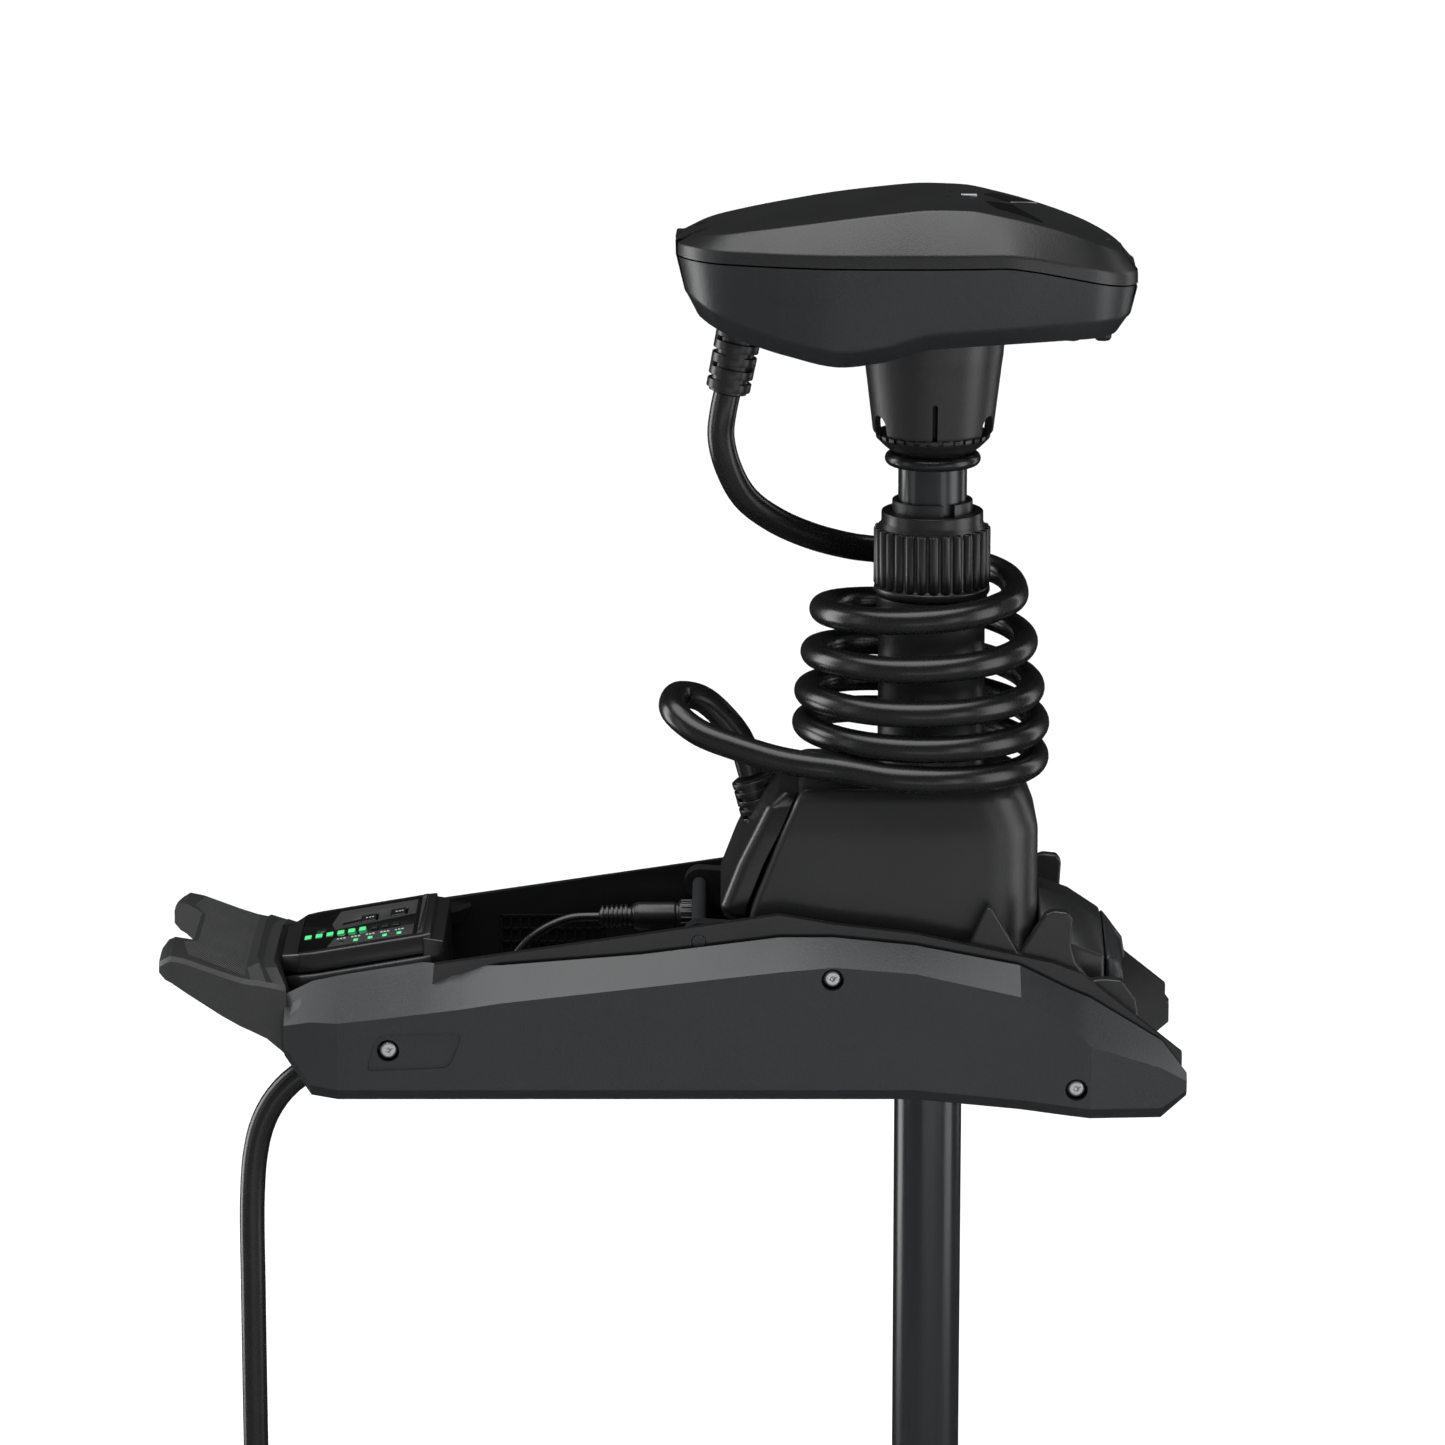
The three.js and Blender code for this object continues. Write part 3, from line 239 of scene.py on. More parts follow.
blackPlastic = moulded("blackPlastic", (0.013, 0.0133, 0.0138), 0.34, gloss=0.5)
softBlack = moulded("softBlack", (0.009, 0.0092, 0.0096), 0.32, 1100, 0.12, 0.5)
charcoal = moulded("charcoalPanel", (0.0145, 0.016, 0.018), 0.34, 1300, 0.3, 0.5)
matteGrey = moulded("matteGreyField", (0.03, 0.03, 0.031), 0.5, 2200, 0.1, 0.3)
rubber = satinRubber("cordRubber", (0.0065, 0.0067, 0.007), 0.27)
treadRubber = satinRubber("treadRubber", (0.07, 0.07, 0.071), 0.5)
pedalPlastic = moulded("pedalPlastic", (0.024, 0.0245, 0.025), 0.38, gloss=0.5)
steel = brushed("brightSteel", (0.78, 0.79, 0.81), 0.42, (1, 14, 1))
composite = wound("shaftComposite", (0.014, 0.015, 0.017), 0.24, (1, 1, 0.06))
windowGloss = glossy("displayGloss", (0.004, 0.004, 0.0045), 0.06)
powderCoat = moulded("powderCoat", (0.02, 0.021, 0.023), 0.42, 700, 0.35)
bronze = brushed("bronze", (0.52, 0.37, 0.18), 0.34, (1, 1, 16))
board = glossy("circuitGreen", (0.02, 0.1, 0.04), 0.3)
core = castCore("ironCore", (0.13, 0.1, 0.09), (0.42, 0.2, 0.1))
lampGreen = glowing("lampGreen", (0.06, 0.62, 0.2), 0.55)
lampDark = glossy("lampUnlit", (0.012, 0.014, 0.014), 0.25)
printWhite = glossy("markWhite", (0.5, 0.51, 0.53), 0.35)
print("finishes ready")


# shared ways to make a piece

def corners(node):
    low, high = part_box(node)
    return low / mm, high / mm


def addMesh(name, points, faces, finish, angle=32):
    mesh = bpy.data.meshes.new(name)
    mesh.from_pydata([Vector(p) * mm for p in points], [], faces)
    mesh.materials.append(finish)
    piece = bpy.data.objects.new(name, mesh)
    bpy.context.scene.collection.objects.link(piece)
    cleaned(piece, angle)
    return piece


def cleaned(piece, angle=32):
    work = bmesh.new()
    work.from_mesh(piece.data)
    bmesh.ops.remove_doubles(work, verts=work.verts, dist=1e-6)
    bmesh.ops.dissolve_degenerate(work, edges=work.edges, dist=1e-7)
    bmesh.ops.recalc_face_normals(work, faces=work.faces)
    work.to_mesh(piece.data)
    work.free()
    piece.data.shade_smooth()
    piece.data.set_sharp_from_angle(angle=math.radians(angle))


def settle(piece):
    # the modifiers' result becomes the piece's own mesh
    bpy.context.view_layer.update()
    graph = bpy.context.evaluated_depsgraph_get()
    made = bpy.data.meshes.new_from_object(piece.evaluated_get(graph), depsgraph=graph)
    piece.modifiers.clear()
    worn = piece.data
    piece.data = made
    bpy.data.meshes.remove(worn)
    made.name = piece.name
    return piece


def combine(piece, *others, operation="DIFFERENCE", angle=32):
    for other in others:
        change = piece.modifiers.new("join", "BOOLEAN")
        change.object = other
        change.operation = operation
        change.solver = "EXACT"
        settle(piece)
        bpy.data.objects.remove(other)
    cleaned(piece, angle)
    return piece


def edged(piece, width, segments=2, angle=30):
    edge = piece.modifiers.new("edges", "BEVEL")
    edge.width = width * mm
    edge.segments = segments
    edge.limit_method = "ANGLE"
    edge.angle_limit = math.radians(angle)
    edge.harden_normals = True
    return settle(piece)


def merged(name, pieces):
    # several finished meshes as one piece, each with its own finish kept
    work = bmesh.new()
    finishes = []
    for part in pieces:
        start = len(work.faces)
        work.from_mesh(part.data)
        work.faces.ensure_lookup_table()
        for face in work.faces[start:]:
            finish = part.data.materials[face.material_index]
            if finish not in finishes:
                finishes.append(finish)
            face.material_index = finishes.index(finish)
        bpy.data.objects.remove(part)
    mesh = bpy.data.meshes.new(name)
    work.to_mesh(mesh)
    work.free()
    for finish in finishes:
        mesh.materials.append(finish)
    mesh.shade_smooth()
    mesh.set_sharp_from_angle(angle=math.radians(32))
    piece = bpy.data.objects.new(name, mesh)
    bpy.context.scene.collection.objects.link(piece)
    return piece


def place(piece, body, slot, *nodes):
    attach(piece, body)
    if nodes:
        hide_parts(*nodes)
    return piece


def refined(node, finish, width=0.8, segments=2, angle=28):
    # a CAD node's own shape with its edges eased
    piece = bpy.data.objects.new(node + "_skin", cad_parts[node].data.copy())
    bpy.context.scene.collection.objects.link(piece)
    piece.data.materials.clear()
    piece.data.materials.append(finish)
    work = bmesh.new()
    work.from_mesh(piece.data)
    bmesh.ops.remove_doubles(work, verts=work.verts, dist=2e-5)
    bmesh.ops.dissolve_limit(work, angle_limit=math.radians(1), verts=work.verts, edges=work.edges)
    for face in work.faces:
        face.material_index = 0
    work.to_mesh(piece.data)
    work.free()
    return edged(piece, width, segments, angle)


def skin(rows, ring=True, capped=True):
    # rows of equally many points, joined by quads
    count = len(rows[0])
    points = [p for row in rows for p in row]
    faces = []
    for r in range(len(rows) - 1):
        for i in range(count if ring else count - 1):
            a, b = r * count + i, r * count + (i + 1) % count
            faces.append((a, b, b + count, a + count))
    if capped:
        faces.append(tuple(range(count)))
        faces.append(tuple(range(len(points) - count, len(points))))
    return points, faces


def softened(line, radii, steps=3, closed=False):
    # a line of points with its corners turned into short arcs
    made = []
    for i, here in enumerate(line):
        radius = radii[i] if isinstance(radii, (list, tuple)) else radii
        if not radius or (not closed and i in (0, len(line) - 1)):
            made.append(Vector(here))
            continue
        here = Vector(here)
        ends = []
        for other in (Vector(line[i - 1]), Vector(line[(i + 1) % len(line)])):
            gap = other - here
            ends.append(here + gap.normalized() * min(radius, gap.length * 0.45))
        for k in range(steps + 1):
            t = k / steps
            made.append(ends[0] * (1 - t) ** 2 + here * (2 * t * (1 - t)) + ends[1] * t * t)
    return made


def turned(name, profile, finish, centre, along=(0, 0, 1), segments=96, soft=0.0, loop=False, angle=32):
    # a lathe piece: profile is radius and height along the axis
    axis = Vector(along).normalized()
    side = axis.orthogonal().normalized()
    other = axis.cross(side)
    line = [(r, h, 0) for r, h in profile]
    if soft:
        line = softened(line, soft, closed=loop)
    line = [Vector(p) for p in line]
    if loop:
        line.append(line[0])
    rows = []
    for k in range(segments + 1):
        turn = 2 * math.pi * k / segments
        out = side * math.cos(turn) + other * math.sin(turn)
        rows.append([Vector(centre) + out * p.x + axis * p.y for p in line])
    points, faces = skin(rows, ring=False, capped=False)
    return addMesh(name, points, faces, finish, angle)


def prism(name, outline, low, high, finish, flat="z"):
    # a flat outline given a thickness, along z or along y
    def corner(point, level):
        return (point[0], point[1], level) if flat == "z" else (point[0], level, point[1])

    rows = [[corner(p, level) for p in outline] for level in (low, high)]
    points, faces = skin(rows)
    return addMesh(name, points, faces, finish)


def block(name, low, high, finish):
    outline = [(low[0], low[1]), (high[0], low[1]), (high[0], high[1]), (low[0], high[1])]
    return prism(name, outline, low[2], high[2], finish)


def along(keys, x):
    # a smooth line through keys of (x, value), with no overshoot
    keys = sorted(keys)
    if x <= keys[0][0]:
        return keys[0][1]
    if x >= keys[-1][0]:
        return keys[-1][1]
    i = max(k for k in range(len(keys) - 1) if keys[k][0] <= x)
    slopes = [(b[1] - a[1]) / (b[0] - a[0]) for a, b in zip(keys, keys[1:])]

    def lean(k):
        if k in (0, len(keys) - 1):
            return slopes[0 if k == 0 else -1]
        before, after = slopes[k - 1], slopes[k]
        return 0 if before * after <= 0 else 2 * before * after / (before + after)

    (x0, y0), (x1, y1) = keys[i], keys[i + 1]
    width = x1 - x0
    t = (x - x0) / width
    return (y0 * (1 + 2 * t) * (1 - t) ** 2 + lean(i) * width * t * (1 - t) ** 2
            + y1 * t * t * (3 - 2 * t) + lean(i + 1) * width * t * t * (t - 1))


def through(stops, step):
    # points every step along a smooth curve through given ones
    stops = [Vector(p) for p in stops]
    ends = [2 * stops[0] - stops[1], *stops, 2 * stops[-1] - stops[-2]]
    fine = []
    for a, b, c, d in zip(ends, ends[1:], ends[2:], ends[3:]):
        times = [0]
        for p, q in ((a, b), (b, c), (c, d)):
            times.append(times[-1] + (q - p).length ** 0.5)
        for k in range(24):
            t = times[1] + (times[2] - times[1]) * k / 24
            rows = [a, b, c, d]
            for level in (1, 2, 3):
                for i in range(4 - level):
                    start, end = (i, i + level) if level < 3 else (1, 2)
                    span = times[end] - times[start]
                    rows[i] = rows[i] * ((times[end] - t) / span) + rows[i + 1] * ((t - times[start]) / span)
            fine.append(rows[0])
    fine.append(stops[-1])
    made = [fine[0]]
    for p in fine[1:]:
        if (p - made[-1]).length >= step:
            made.append(p)
    if (made[-1] - stops[-1]).length > step * 0.4:
        made.append(stops[-1])
    return made


def lengthOf(path):
    return sum((b - a).length for a, b in zip(path, path[1:])) * mm


def tube(name, path, radius, finish, sides=28):
    # a round cord along a path, its section carried along without twist
    rows = []
    side = None
    for i, here in enumerate(path):
        ahead = (path[min(i + 1, len(path) - 1)] - path[max(i - 1, 0)]).normalized()
        side = (ahead.orthogonal() if side is None else side - ahead * side.dot(ahead)).normalized()
        other = ahead.cross(side)
        turns = [2 * math.pi * k / sides for k in range(sides)]
        rows.append([here + (side * math.cos(t) + other * math.sin(t)) * radius for t in turns])
    points, faces = skin(rows)
    return addMesh(name, points, faces, finish, 60)


# camera, light and floor

view = {"place": (0.0508, -3.919, 1.166), "tilt": 76.4, "lens": 159.4}
camera = bpy.data.objects.new("camera", bpy.data.cameras.new("camera"))
bpy.context.scene.collection.objects.link(camera)
camera.location = view["place"]
camera.rotation_euler = (math.radians(view["tilt"]), 0, 0)
camera.data.lens = view["lens"]
camera.data.clip_end = 200
bpy.context.scene.camera = camera

floorZ = cadBox[0][2] - 0.012
studio = {
    # radiance is what each softbox looks like in a reflection
    "overhead": {"place": (0.1, -0.7, 3.2), "aim": (0.1, 0, 0.2), "size": (2.6, 1.2), "radiance": 0.75},
    "left": {"place": (-3.2, 1.1, 0.4), "aim": (0.1, 0, 0.2), "size": (1.5, 3.6), "radiance": 5.0},
    "leftFront": {"place": (-3.2, -1.2, 0.6), "aim": (0.1, 0, 0.2), "size": (0.8, 3.0), "radiance": 1.0},
    "right": {"place": (3.2, -0.9, 0.4), "aim": (0.1, 0, 0.2), "size": (1.6, 3.2), "radiance": 2.6},
    "rightBack": {"place": (3.0, 1.9, 0.5), "aim": (0.1, 0, 0.2), "size": (0.5, 3.0), "radiance": 2.5},
    "frontRight": {"place": (2.1, -2.7, 0.1), "aim": (0.1, 0, 0.1), "size": (1.0, 1.8), "radiance": 1.5},
    "low": {"place": (0.4, -3.2, -0.75), "aim": (0.1, 0, 0.2), "size": (2.6, 0.5), "radiance": 1.2},
}
sun = {"strength": 3.4, "width": 70, "turn": (6, -5, 0)}
room = {"front": [(0.0, 0.3), (0.42, 0.16), (0.6, 0.04), (1.0, 0.02)],  # grey from the front to the back
        "below": [(0.0, 1.0), (0.5, 1.0), (0.72, 0.35), (1.0, 0.2)]}  # its share from below to above


def stageLights():
    for name, lamp in studio.items():
        made = bpy.data.lights.new(name, "AREA")
        made.shape = "RECTANGLE"
        made.size, made.size_y = lamp["size"]
        made.energy = lamp["radiance"] * math.pi * made.size * made.size_y
        lit = bpy.data.objects.new(name, made)
        lit.location = lamp["place"]
        toward = Vector(lamp["aim"]) - Vector(lamp["place"])
        lit.rotation_euler = toward.to_track_quat("-Z", "Y").to_euler()
        bpy.context.scene.collection.objects.link(lit)
    made = bpy.data.lights.new("sun", "SUN")
    made.energy = sun["strength"]
    made.angle = math.radians(sun["width"])
    lit = bpy.data.objects.new("sun", made)
    lit.rotation_euler = [math.radians(t) for t in sun["turn"]]
    bpy.context.scene.collection.objects.link(lit)

    # a pale room in front and below, dark behind, so that level faces stay dark
    world = bpy.data.worlds.new("studio")
    bpy.context.scene.world = world
    world.use_nodes = True
    graph = Graph(world.node_tree)
    graph.tree.nodes.clear()
    way = graph.node("ShaderNodeTexCoord", out="Generated")
    depth = graph.node("ShaderNodeSeparateXYZ", {}, {0: way}, 1)
    height = graph.node("ShaderNodeSeparateXYZ", {}, {0: way}, 2)
    front = graph.node("ShaderNodeValToRGB", {"stops": room["front"]}, {0: depth * 0.5 + 0.5})
    below = graph.node("ShaderNodeValToRGB", {"stops": room["below"]}, {0: height * 0.5 + 0.5})
    tone = graph.node("ShaderNodeMix", {"data_type": "RGBA", "blend_type": "MULTIPLY"},
                      {0: 1.0, 6: front, 7: below}, 2)
    light = graph.node("ShaderNodeBackground", {}, {"Color": tone, "Strength": 1.0})
    graph.node("ShaderNodeOutputWorld", {}, {"Surface": light})
    bpy.context.scene.view_settings.view_transform = "Standard"


def stageFloor():
    reach = 60000
    floor = addMesh("floor", *skin([[(-reach, -reach, 0), (reach, -reach, 0)],
                                    [(-reach, reach, 0), (reach, reach, 0)]], False, False),
                    paint("paleFloor", lambda g, p: noise(g, p, 2, 2) * 0.1 + 0.8,
                          {"Specular IOR Level": 0.1},
                          lambda g, p: g.mix(noise(g, p, 0.7, 2), shade((0.93, 0.93, 0.93)),
                                             shade((0.95, 0.95, 0.95)))))
    floor.data.transform(Matrix.Translation((0, 0, floorZ)))
    floor.visible_glossy = False  # the sides keep the dark lower half of the room in them


stageLights()
stageFloor()
print("camera, light and floor ready")


# cords

coil = {
    "centre": (175.5, 0), "radius": 8.5,
    "levels": [(0, 303), (90, 297), (180, 292), (360, 271), (450, 267), (540, 265), (720, 241), (810, 240),
               (900, 240), (1080, 218), (1170, 218), (1260, 220), (1440, 196), (1530, 199), (1575, 203.8)],
    "radii": [(0, 58.6), (360, 65), (720, 69.6), (1080, 72.8), (1440, 72.2), (1530, 75), (1575, 81.4)],
    "split": 900, "end": 1355,
    "lead": [(53.6, 0, 428.6), (51.4, 0, 418), (49.8, 2, 402), (53.9, 6, 382), (64.8, 14, 360),
             (82.5, 24, 344), (106.8, 36, 330.5), (132, 46, 321.8), (147, 50, 319), (165, 53, 316.2),
             (186, 54, 314), (200, 50.5, 312), (219, 41, 309.3), (231, 22, 306.5)],
    "loop": [(124, -63, 203.4), (107, -61, 205), (85.3, -57, 208), (60.8, -52, 214.3), (36.2, -44, 222.2),
             (21.7, -30, 230.7), (19.4, -12, 233.8), (24.2, 5, 235), (37.8, 12, 230.5), (52.4, 13, 217.2),
             (62.5, 12.5, 203), (69.3, 12, 181.6)],
}
power = {
    "radius": 8,
    "route": [(-212.5, -30, -1.4), (-222.2, -30, -8.5), (-232.5, -30, -20), (-241, -30, -36),
              (-246, -30, -56), (-248.5, -30, -85), (-249, -30, -150), (-249, -30, -400), (-249, -30, -650),
              (-249, -30, -895)],
}


def between(keys, at):
    # straight between keys, averaged over a short arc so that it flows
    total = 0
    for shift in range(-36, 37, 9):
        here = min(max(at + shift, keys[0][0]), keys[-1][0])
        i = max(k for k in range(len(keys) - 1) if keys[k][0] <= here)
        (a, low), (b, high) = keys[i], keys[i + 1]
        total += low + (high - low) * (here - a) / (b - a)
    return total / 9


def helix(start, end):
    points = []
    for turn in range(start, end + 1, 5):
        reach = between(coil["radii"], turn)
        angle = math.radians(-turn)
        points.append(Vector((coil["centre"][0] + reach * math.cos(angle), reach * math.sin(angle),
                              between(coil["levels"], turn))))
    return points


def coilCords():
    radius = coil["radius"]
    upper = through(coil["lead"] + helix(5, 45)[::4], 3)[:-1] + helix(45, coil["split"])
    lower = helix(coil["split"], coil["end"])
    loop = (helix(coil["end"], 1520) + through(helix(1525, 1545)[::2] + coil["loop"], 3))[::-1]
    rows = [("coil_cord_upper", upper, "coil_cord_lead"), ("coil_cord_lower", lower, "coil_cord_coil"),
            ("coil_cord_end", loop, "coil_cord_loop")]
    made = {}
    for name, path, node in rows:
        made[name] = tube(name, path, radius, rubber)
        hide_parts(node)
    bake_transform(made["coil_cord_upper"])
    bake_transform(made["coil_cord_lower"])
    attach(made["coil_cord_end"], "housing")
    for name, path, node in rows:
        path[0] * mm
        lengthOf(path)
        [p * mm for p in path]


def powerCord():
    path = through(power["route"], 6)
    cord = place(tube("power_cord_jacket", path, power["radius"], rubber), "mount", "cord_rubber",
                 "power_cord")
    low, high = corners("power_plug")
    x, y, top = path[-1]
    plug = turned("power_plug_body", [(0, top - 62.3), (19, top - 62.3), (21, top - 58), (21, top - 22),
                                      (18, top - 17), (16, top - 9), (10.5, top - 0.3), (0, top - 0.3)],
                  softBlack, (x, y, 0), soft=1.5)
    rings = [turned("ring", [(17, top - z - 2.2), (22, top - z - 2.2), (22, top - z), (17, top - z)],
                    softBlack, (x, y, 0), soft=0.6, loop=True) for z in (28, 34, 40)]
    pins = [turned("pin", [(0, low.z), (2.2, low.z), (3.2, low.z + 2), (3.2, top - 60), (0, top - 60)],
                   steel, (x + side, y, 0), segments=32) for side in (-8, 8)]
    plug = place(merged("power_plug_shell", [plug, *rings, *pins]), "mount", "cord_rubber", "power_plug")
    path[0] * mm
    lengthOf(path)
    [p * mm for p in path]


coilCords()
powerCord()
print("cords ready")


# geometry node trees for what repeats

def pattern(name, inputs, build):
    tree = bpy.data.node_groups.new(name, "GeometryNodeTree")
    tree.interface.new_socket("Geometry", in_out="INPUT", socket_type="NodeSocketGeometry")
    for label, (kind, value) in inputs.items():
        socket = tree.interface.new_socket(label, in_out="INPUT", socket_type="NodeSocket" + kind)
        if value is not None:
            socket.default_value = value
    tree.interface.new_socket("Geometry", in_out="OUTPUT", socket_type="NodeSocketGeometry")
    graph = Graph(tree)
    start = tree.nodes.new("NodeGroupInput")
    given = {socket.name: Value(graph, socket) for socket in start.outputs if socket.name}
    copies = build(graph, given)
    whole = graph.node("GeometryNodeRealizeInstances", {}, {"Geometry": copies})
    whole = graph.node("GeometryNodeSetMaterial", {}, {"Geometry": whole, "Material": given["Finish"]})
    graph.node("NodeGroupOutput", {}, {0: whole})
    return tree


def inARow(graph, given):
    line = graph.node("GeometryNodeMeshLine", {"mode": "OFFSET"}, {
        "Count": given["Count"], "Start Location": given["Start"], "Offset": given["Step"]})
    bar = graph.node("GeometryNodeMeshCube", {}, {"Size": given["Size"]})
    return graph.node("GeometryNodeInstanceOnPoints", {}, {
        "Points": line, "Instance": bar, "Rotation": given["Turn"]})


def inARing(graph, given):
    ring = graph.node("GeometryNodeMeshCircle", {}, {"Vertices": given["Count"], "Radius": given["Radius"]})
    out = graph.node("GeometryNodeInputPosition")
    facing = graph.node("FunctionNodeAlignRotationToVector", {"axis": "X"}, {"Vector": out})
    bar = graph.node("GeometryNodeMeshCylinder", {}, {
        "Vertices": 14, "Radius": given["Width"], "Depth": given["Depth"]})
    copies = graph.node("GeometryNodeInstanceOnPoints", {}, {
        "Points": ring, "Instance": bar, "Rotation": facing})
    return graph.node("GeometryNodeTransform", {}, {"Geometry": copies, "Translation": given["Centre"]})


def onPoints(graph, given):
    pattern = graph.node("GeometryNodeObjectInfo", {}, {"Object": given["Pattern"]}, "Geometry")
    return graph.node("GeometryNodeInstanceOnPoints", {}, {
        "Points": given["Geometry"], "Instance": pattern, "Rotation": given["Turn"]})


rowTree = pattern("barsInARow", {
    "Count": ("Int", 8), "Start": ("Vector", (0, 0, 0)), "Step": ("Vector", (0.01, 0, 0)),
    "Size": ("Vector", (0.002, 0.01, 0.01)), "Turn": ("Rotation", None), "Finish": ("Material", None)},
    inARow)
ringTree = pattern("ribsInARing", {
    "Count": ("Int", 28), "Radius": ("Float", 0.03), "Width": ("Float", 0.003), "Depth": ("Float", 0.04),
    "Centre": ("Vector", (0, 0, 0)), "Finish": ("Material", None)}, inARing)
copyTree = pattern("copiesOnPoints", {
    "Pattern": ("Object", None), "Turn": ("Rotation", None), "Finish": ("Material", None)}, onPoints)


def grown(name, tree, values, points=((0, 0, 0),)):
    mesh = bpy.data.meshes.new(name)
    mesh.from_pydata([Vector(p) * mm for p in points], [], [])
    piece = bpy.data.objects.new(name, mesh)
    bpy.context.scene.collection.objects.link(piece)
    change = piece.modifiers.new("pattern", "NODES")
    change.node_group = tree
    ids = {item.name: item.identifier for item in tree.interface.items_tree if item.in_out == "INPUT"}
    for label, value in values.items():
        change[ids[label]] = value
    piece.update_tag()
    settle(piece)
    piece.data.materials.clear()
    piece.data.materials.append(values["Finish"])
    piece.data.polygons.foreach_set("material_index", [0] * len(piece.data.polygons))
    cleaned(piece)
    return piece


def row(name, finish, count, start, step, size, turn=(0, 0, 0)):
    return grown(name, rowTree, {
        "Count": count, "Start": Vector(start) * mm, "Step": Vector(step) * mm, "Size": Vector(size) * mm,
        "Turn": [math.radians(t) for t in turn], "Finish": finish})


# head

head = {
    "top": [(22, 524), (31, 531.5), (59, 537), (90, 542), (124, 547), (149, 550), (179, 552.5), (200, 552),
            (222, 548), (260, 537.5), (297, 522), (307, 515)],
    "seam": [(22, 519), (222, 519), (240, 516.5), (260, 512), (297, 503), (307, 501)],
    "under": [(22, 492), (31, 484), (59, 471), (90, 461.5), (124, 455), (149, 458), (179, 466), (222, 468.5),
              (260, 470), (297, 471), (307, 474)],
    "topHalf": [(22, 30), (59, 46), (90, 54), (124, 58), (149, 58), (179, 56), (222, 52), (260, 46),
                (297, 36), (307, 32)],
    "seamHalf": [(22, 42), (59, 58), (90, 68), (124, 74), (149, 75), (179, 75), (222, 72), (260, 62),
                 (297, 48), (307, 44)],
    "waistHalf": [(22, 38), (59, 54), (90, 64), (124, 70), (149, 71), (179, 71), (222, 68), (260, 58),
                  (297, 45), (307, 41)],
    "footHalf": [(22, 28), (59, 44), (90, 52), (124, 56), (149, 56), (179, 56), (222, 53), (260, 47),
                 (297, 36), (307, 32)],
    "band": 8, "bevel": 12, "wall": 3, "feet": (267, 286), "feetHeight": 470.6,
}


def planRing(x0, x1, half, height, radius, inset=0):
    # one level of a long rounded body, from its front end round the near side and back
    x0, x1 = x0 + inset, x1 - inset
    radius = max(radius - inset * 0.5, 3)
    near = []
    for k in range(5):
        near.append((x1, -(along(half, x1 - radius) - inset - radius) * k / 5))
    for k in range(9):
        turn = math.radians(90 * k / 8)
        edge = along(half, x1 - radius + radius * math.cos(turn)) - inset
        near.append((x1 - radius + radius * math.cos(turn), -(edge - radius + radius * math.sin(turn))))
    for k in range(1, 44):
        x = x1 - radius + (x0 + radius - x1 + radius) * k / 44
        near.append((x, -(along(half, x) - inset)))
    for k in range(9):
        turn = math.radians(90 * k / 8)
        x = x0 + radius - radius * math.sin(turn)
        edge = along(half, x) - inset
        near.append((x, -(edge - radius + radius * math.cos(turn))))
    for k in range(1, 6):
        near.append((x0, -(along(half, x0 + radius) - inset - radius) * (1 - k / 5)))
    far = [(x, -y) for x, y in near[1:-1]][::-1]
    return [Vector((x, y, height(x))) for x, y in near + far]


def lidded(rows, rise, across=8):
    # closes a mirrored ring with strips from side to side, raised a little at the middle
    ring = rows[-1]
    count = len(ring)
    strips = []
    for i in range(count // 2 + 1):
        a, b = ring[i], ring[(count - i) % count]
        strips.append([a.lerp(b, k / across) + Vector((0, 0, rise * math.sin(math.pi * k / across)
                       * min(1, abs(a.y) / 25))) for k in range(across + 1)])
    points, faces = skin(rows, True, False)
    more, quads = skin(strips, False, False)
    start = len(points)
    return points + more, faces + [tuple(i + start for i in quad) for quad in quads]


def headHalf(name, levels, soft, rise, finish):
    rings = [planRing(*level) for level in levels]
    columns = [softened(line, soft, 4) for line in zip(*rings)]
    rows = [list(line) for line in zip(*columns)]
    piece = addMesh(name, *lidded(rows, rise), finish, 40)
    wall = piece.modifiers.new("wall", "SOLIDIFY")
    wall.thickness = head["wall"] * mm
    wall.offset = -1
    wall.use_even_offset = False
    return settle(piece)


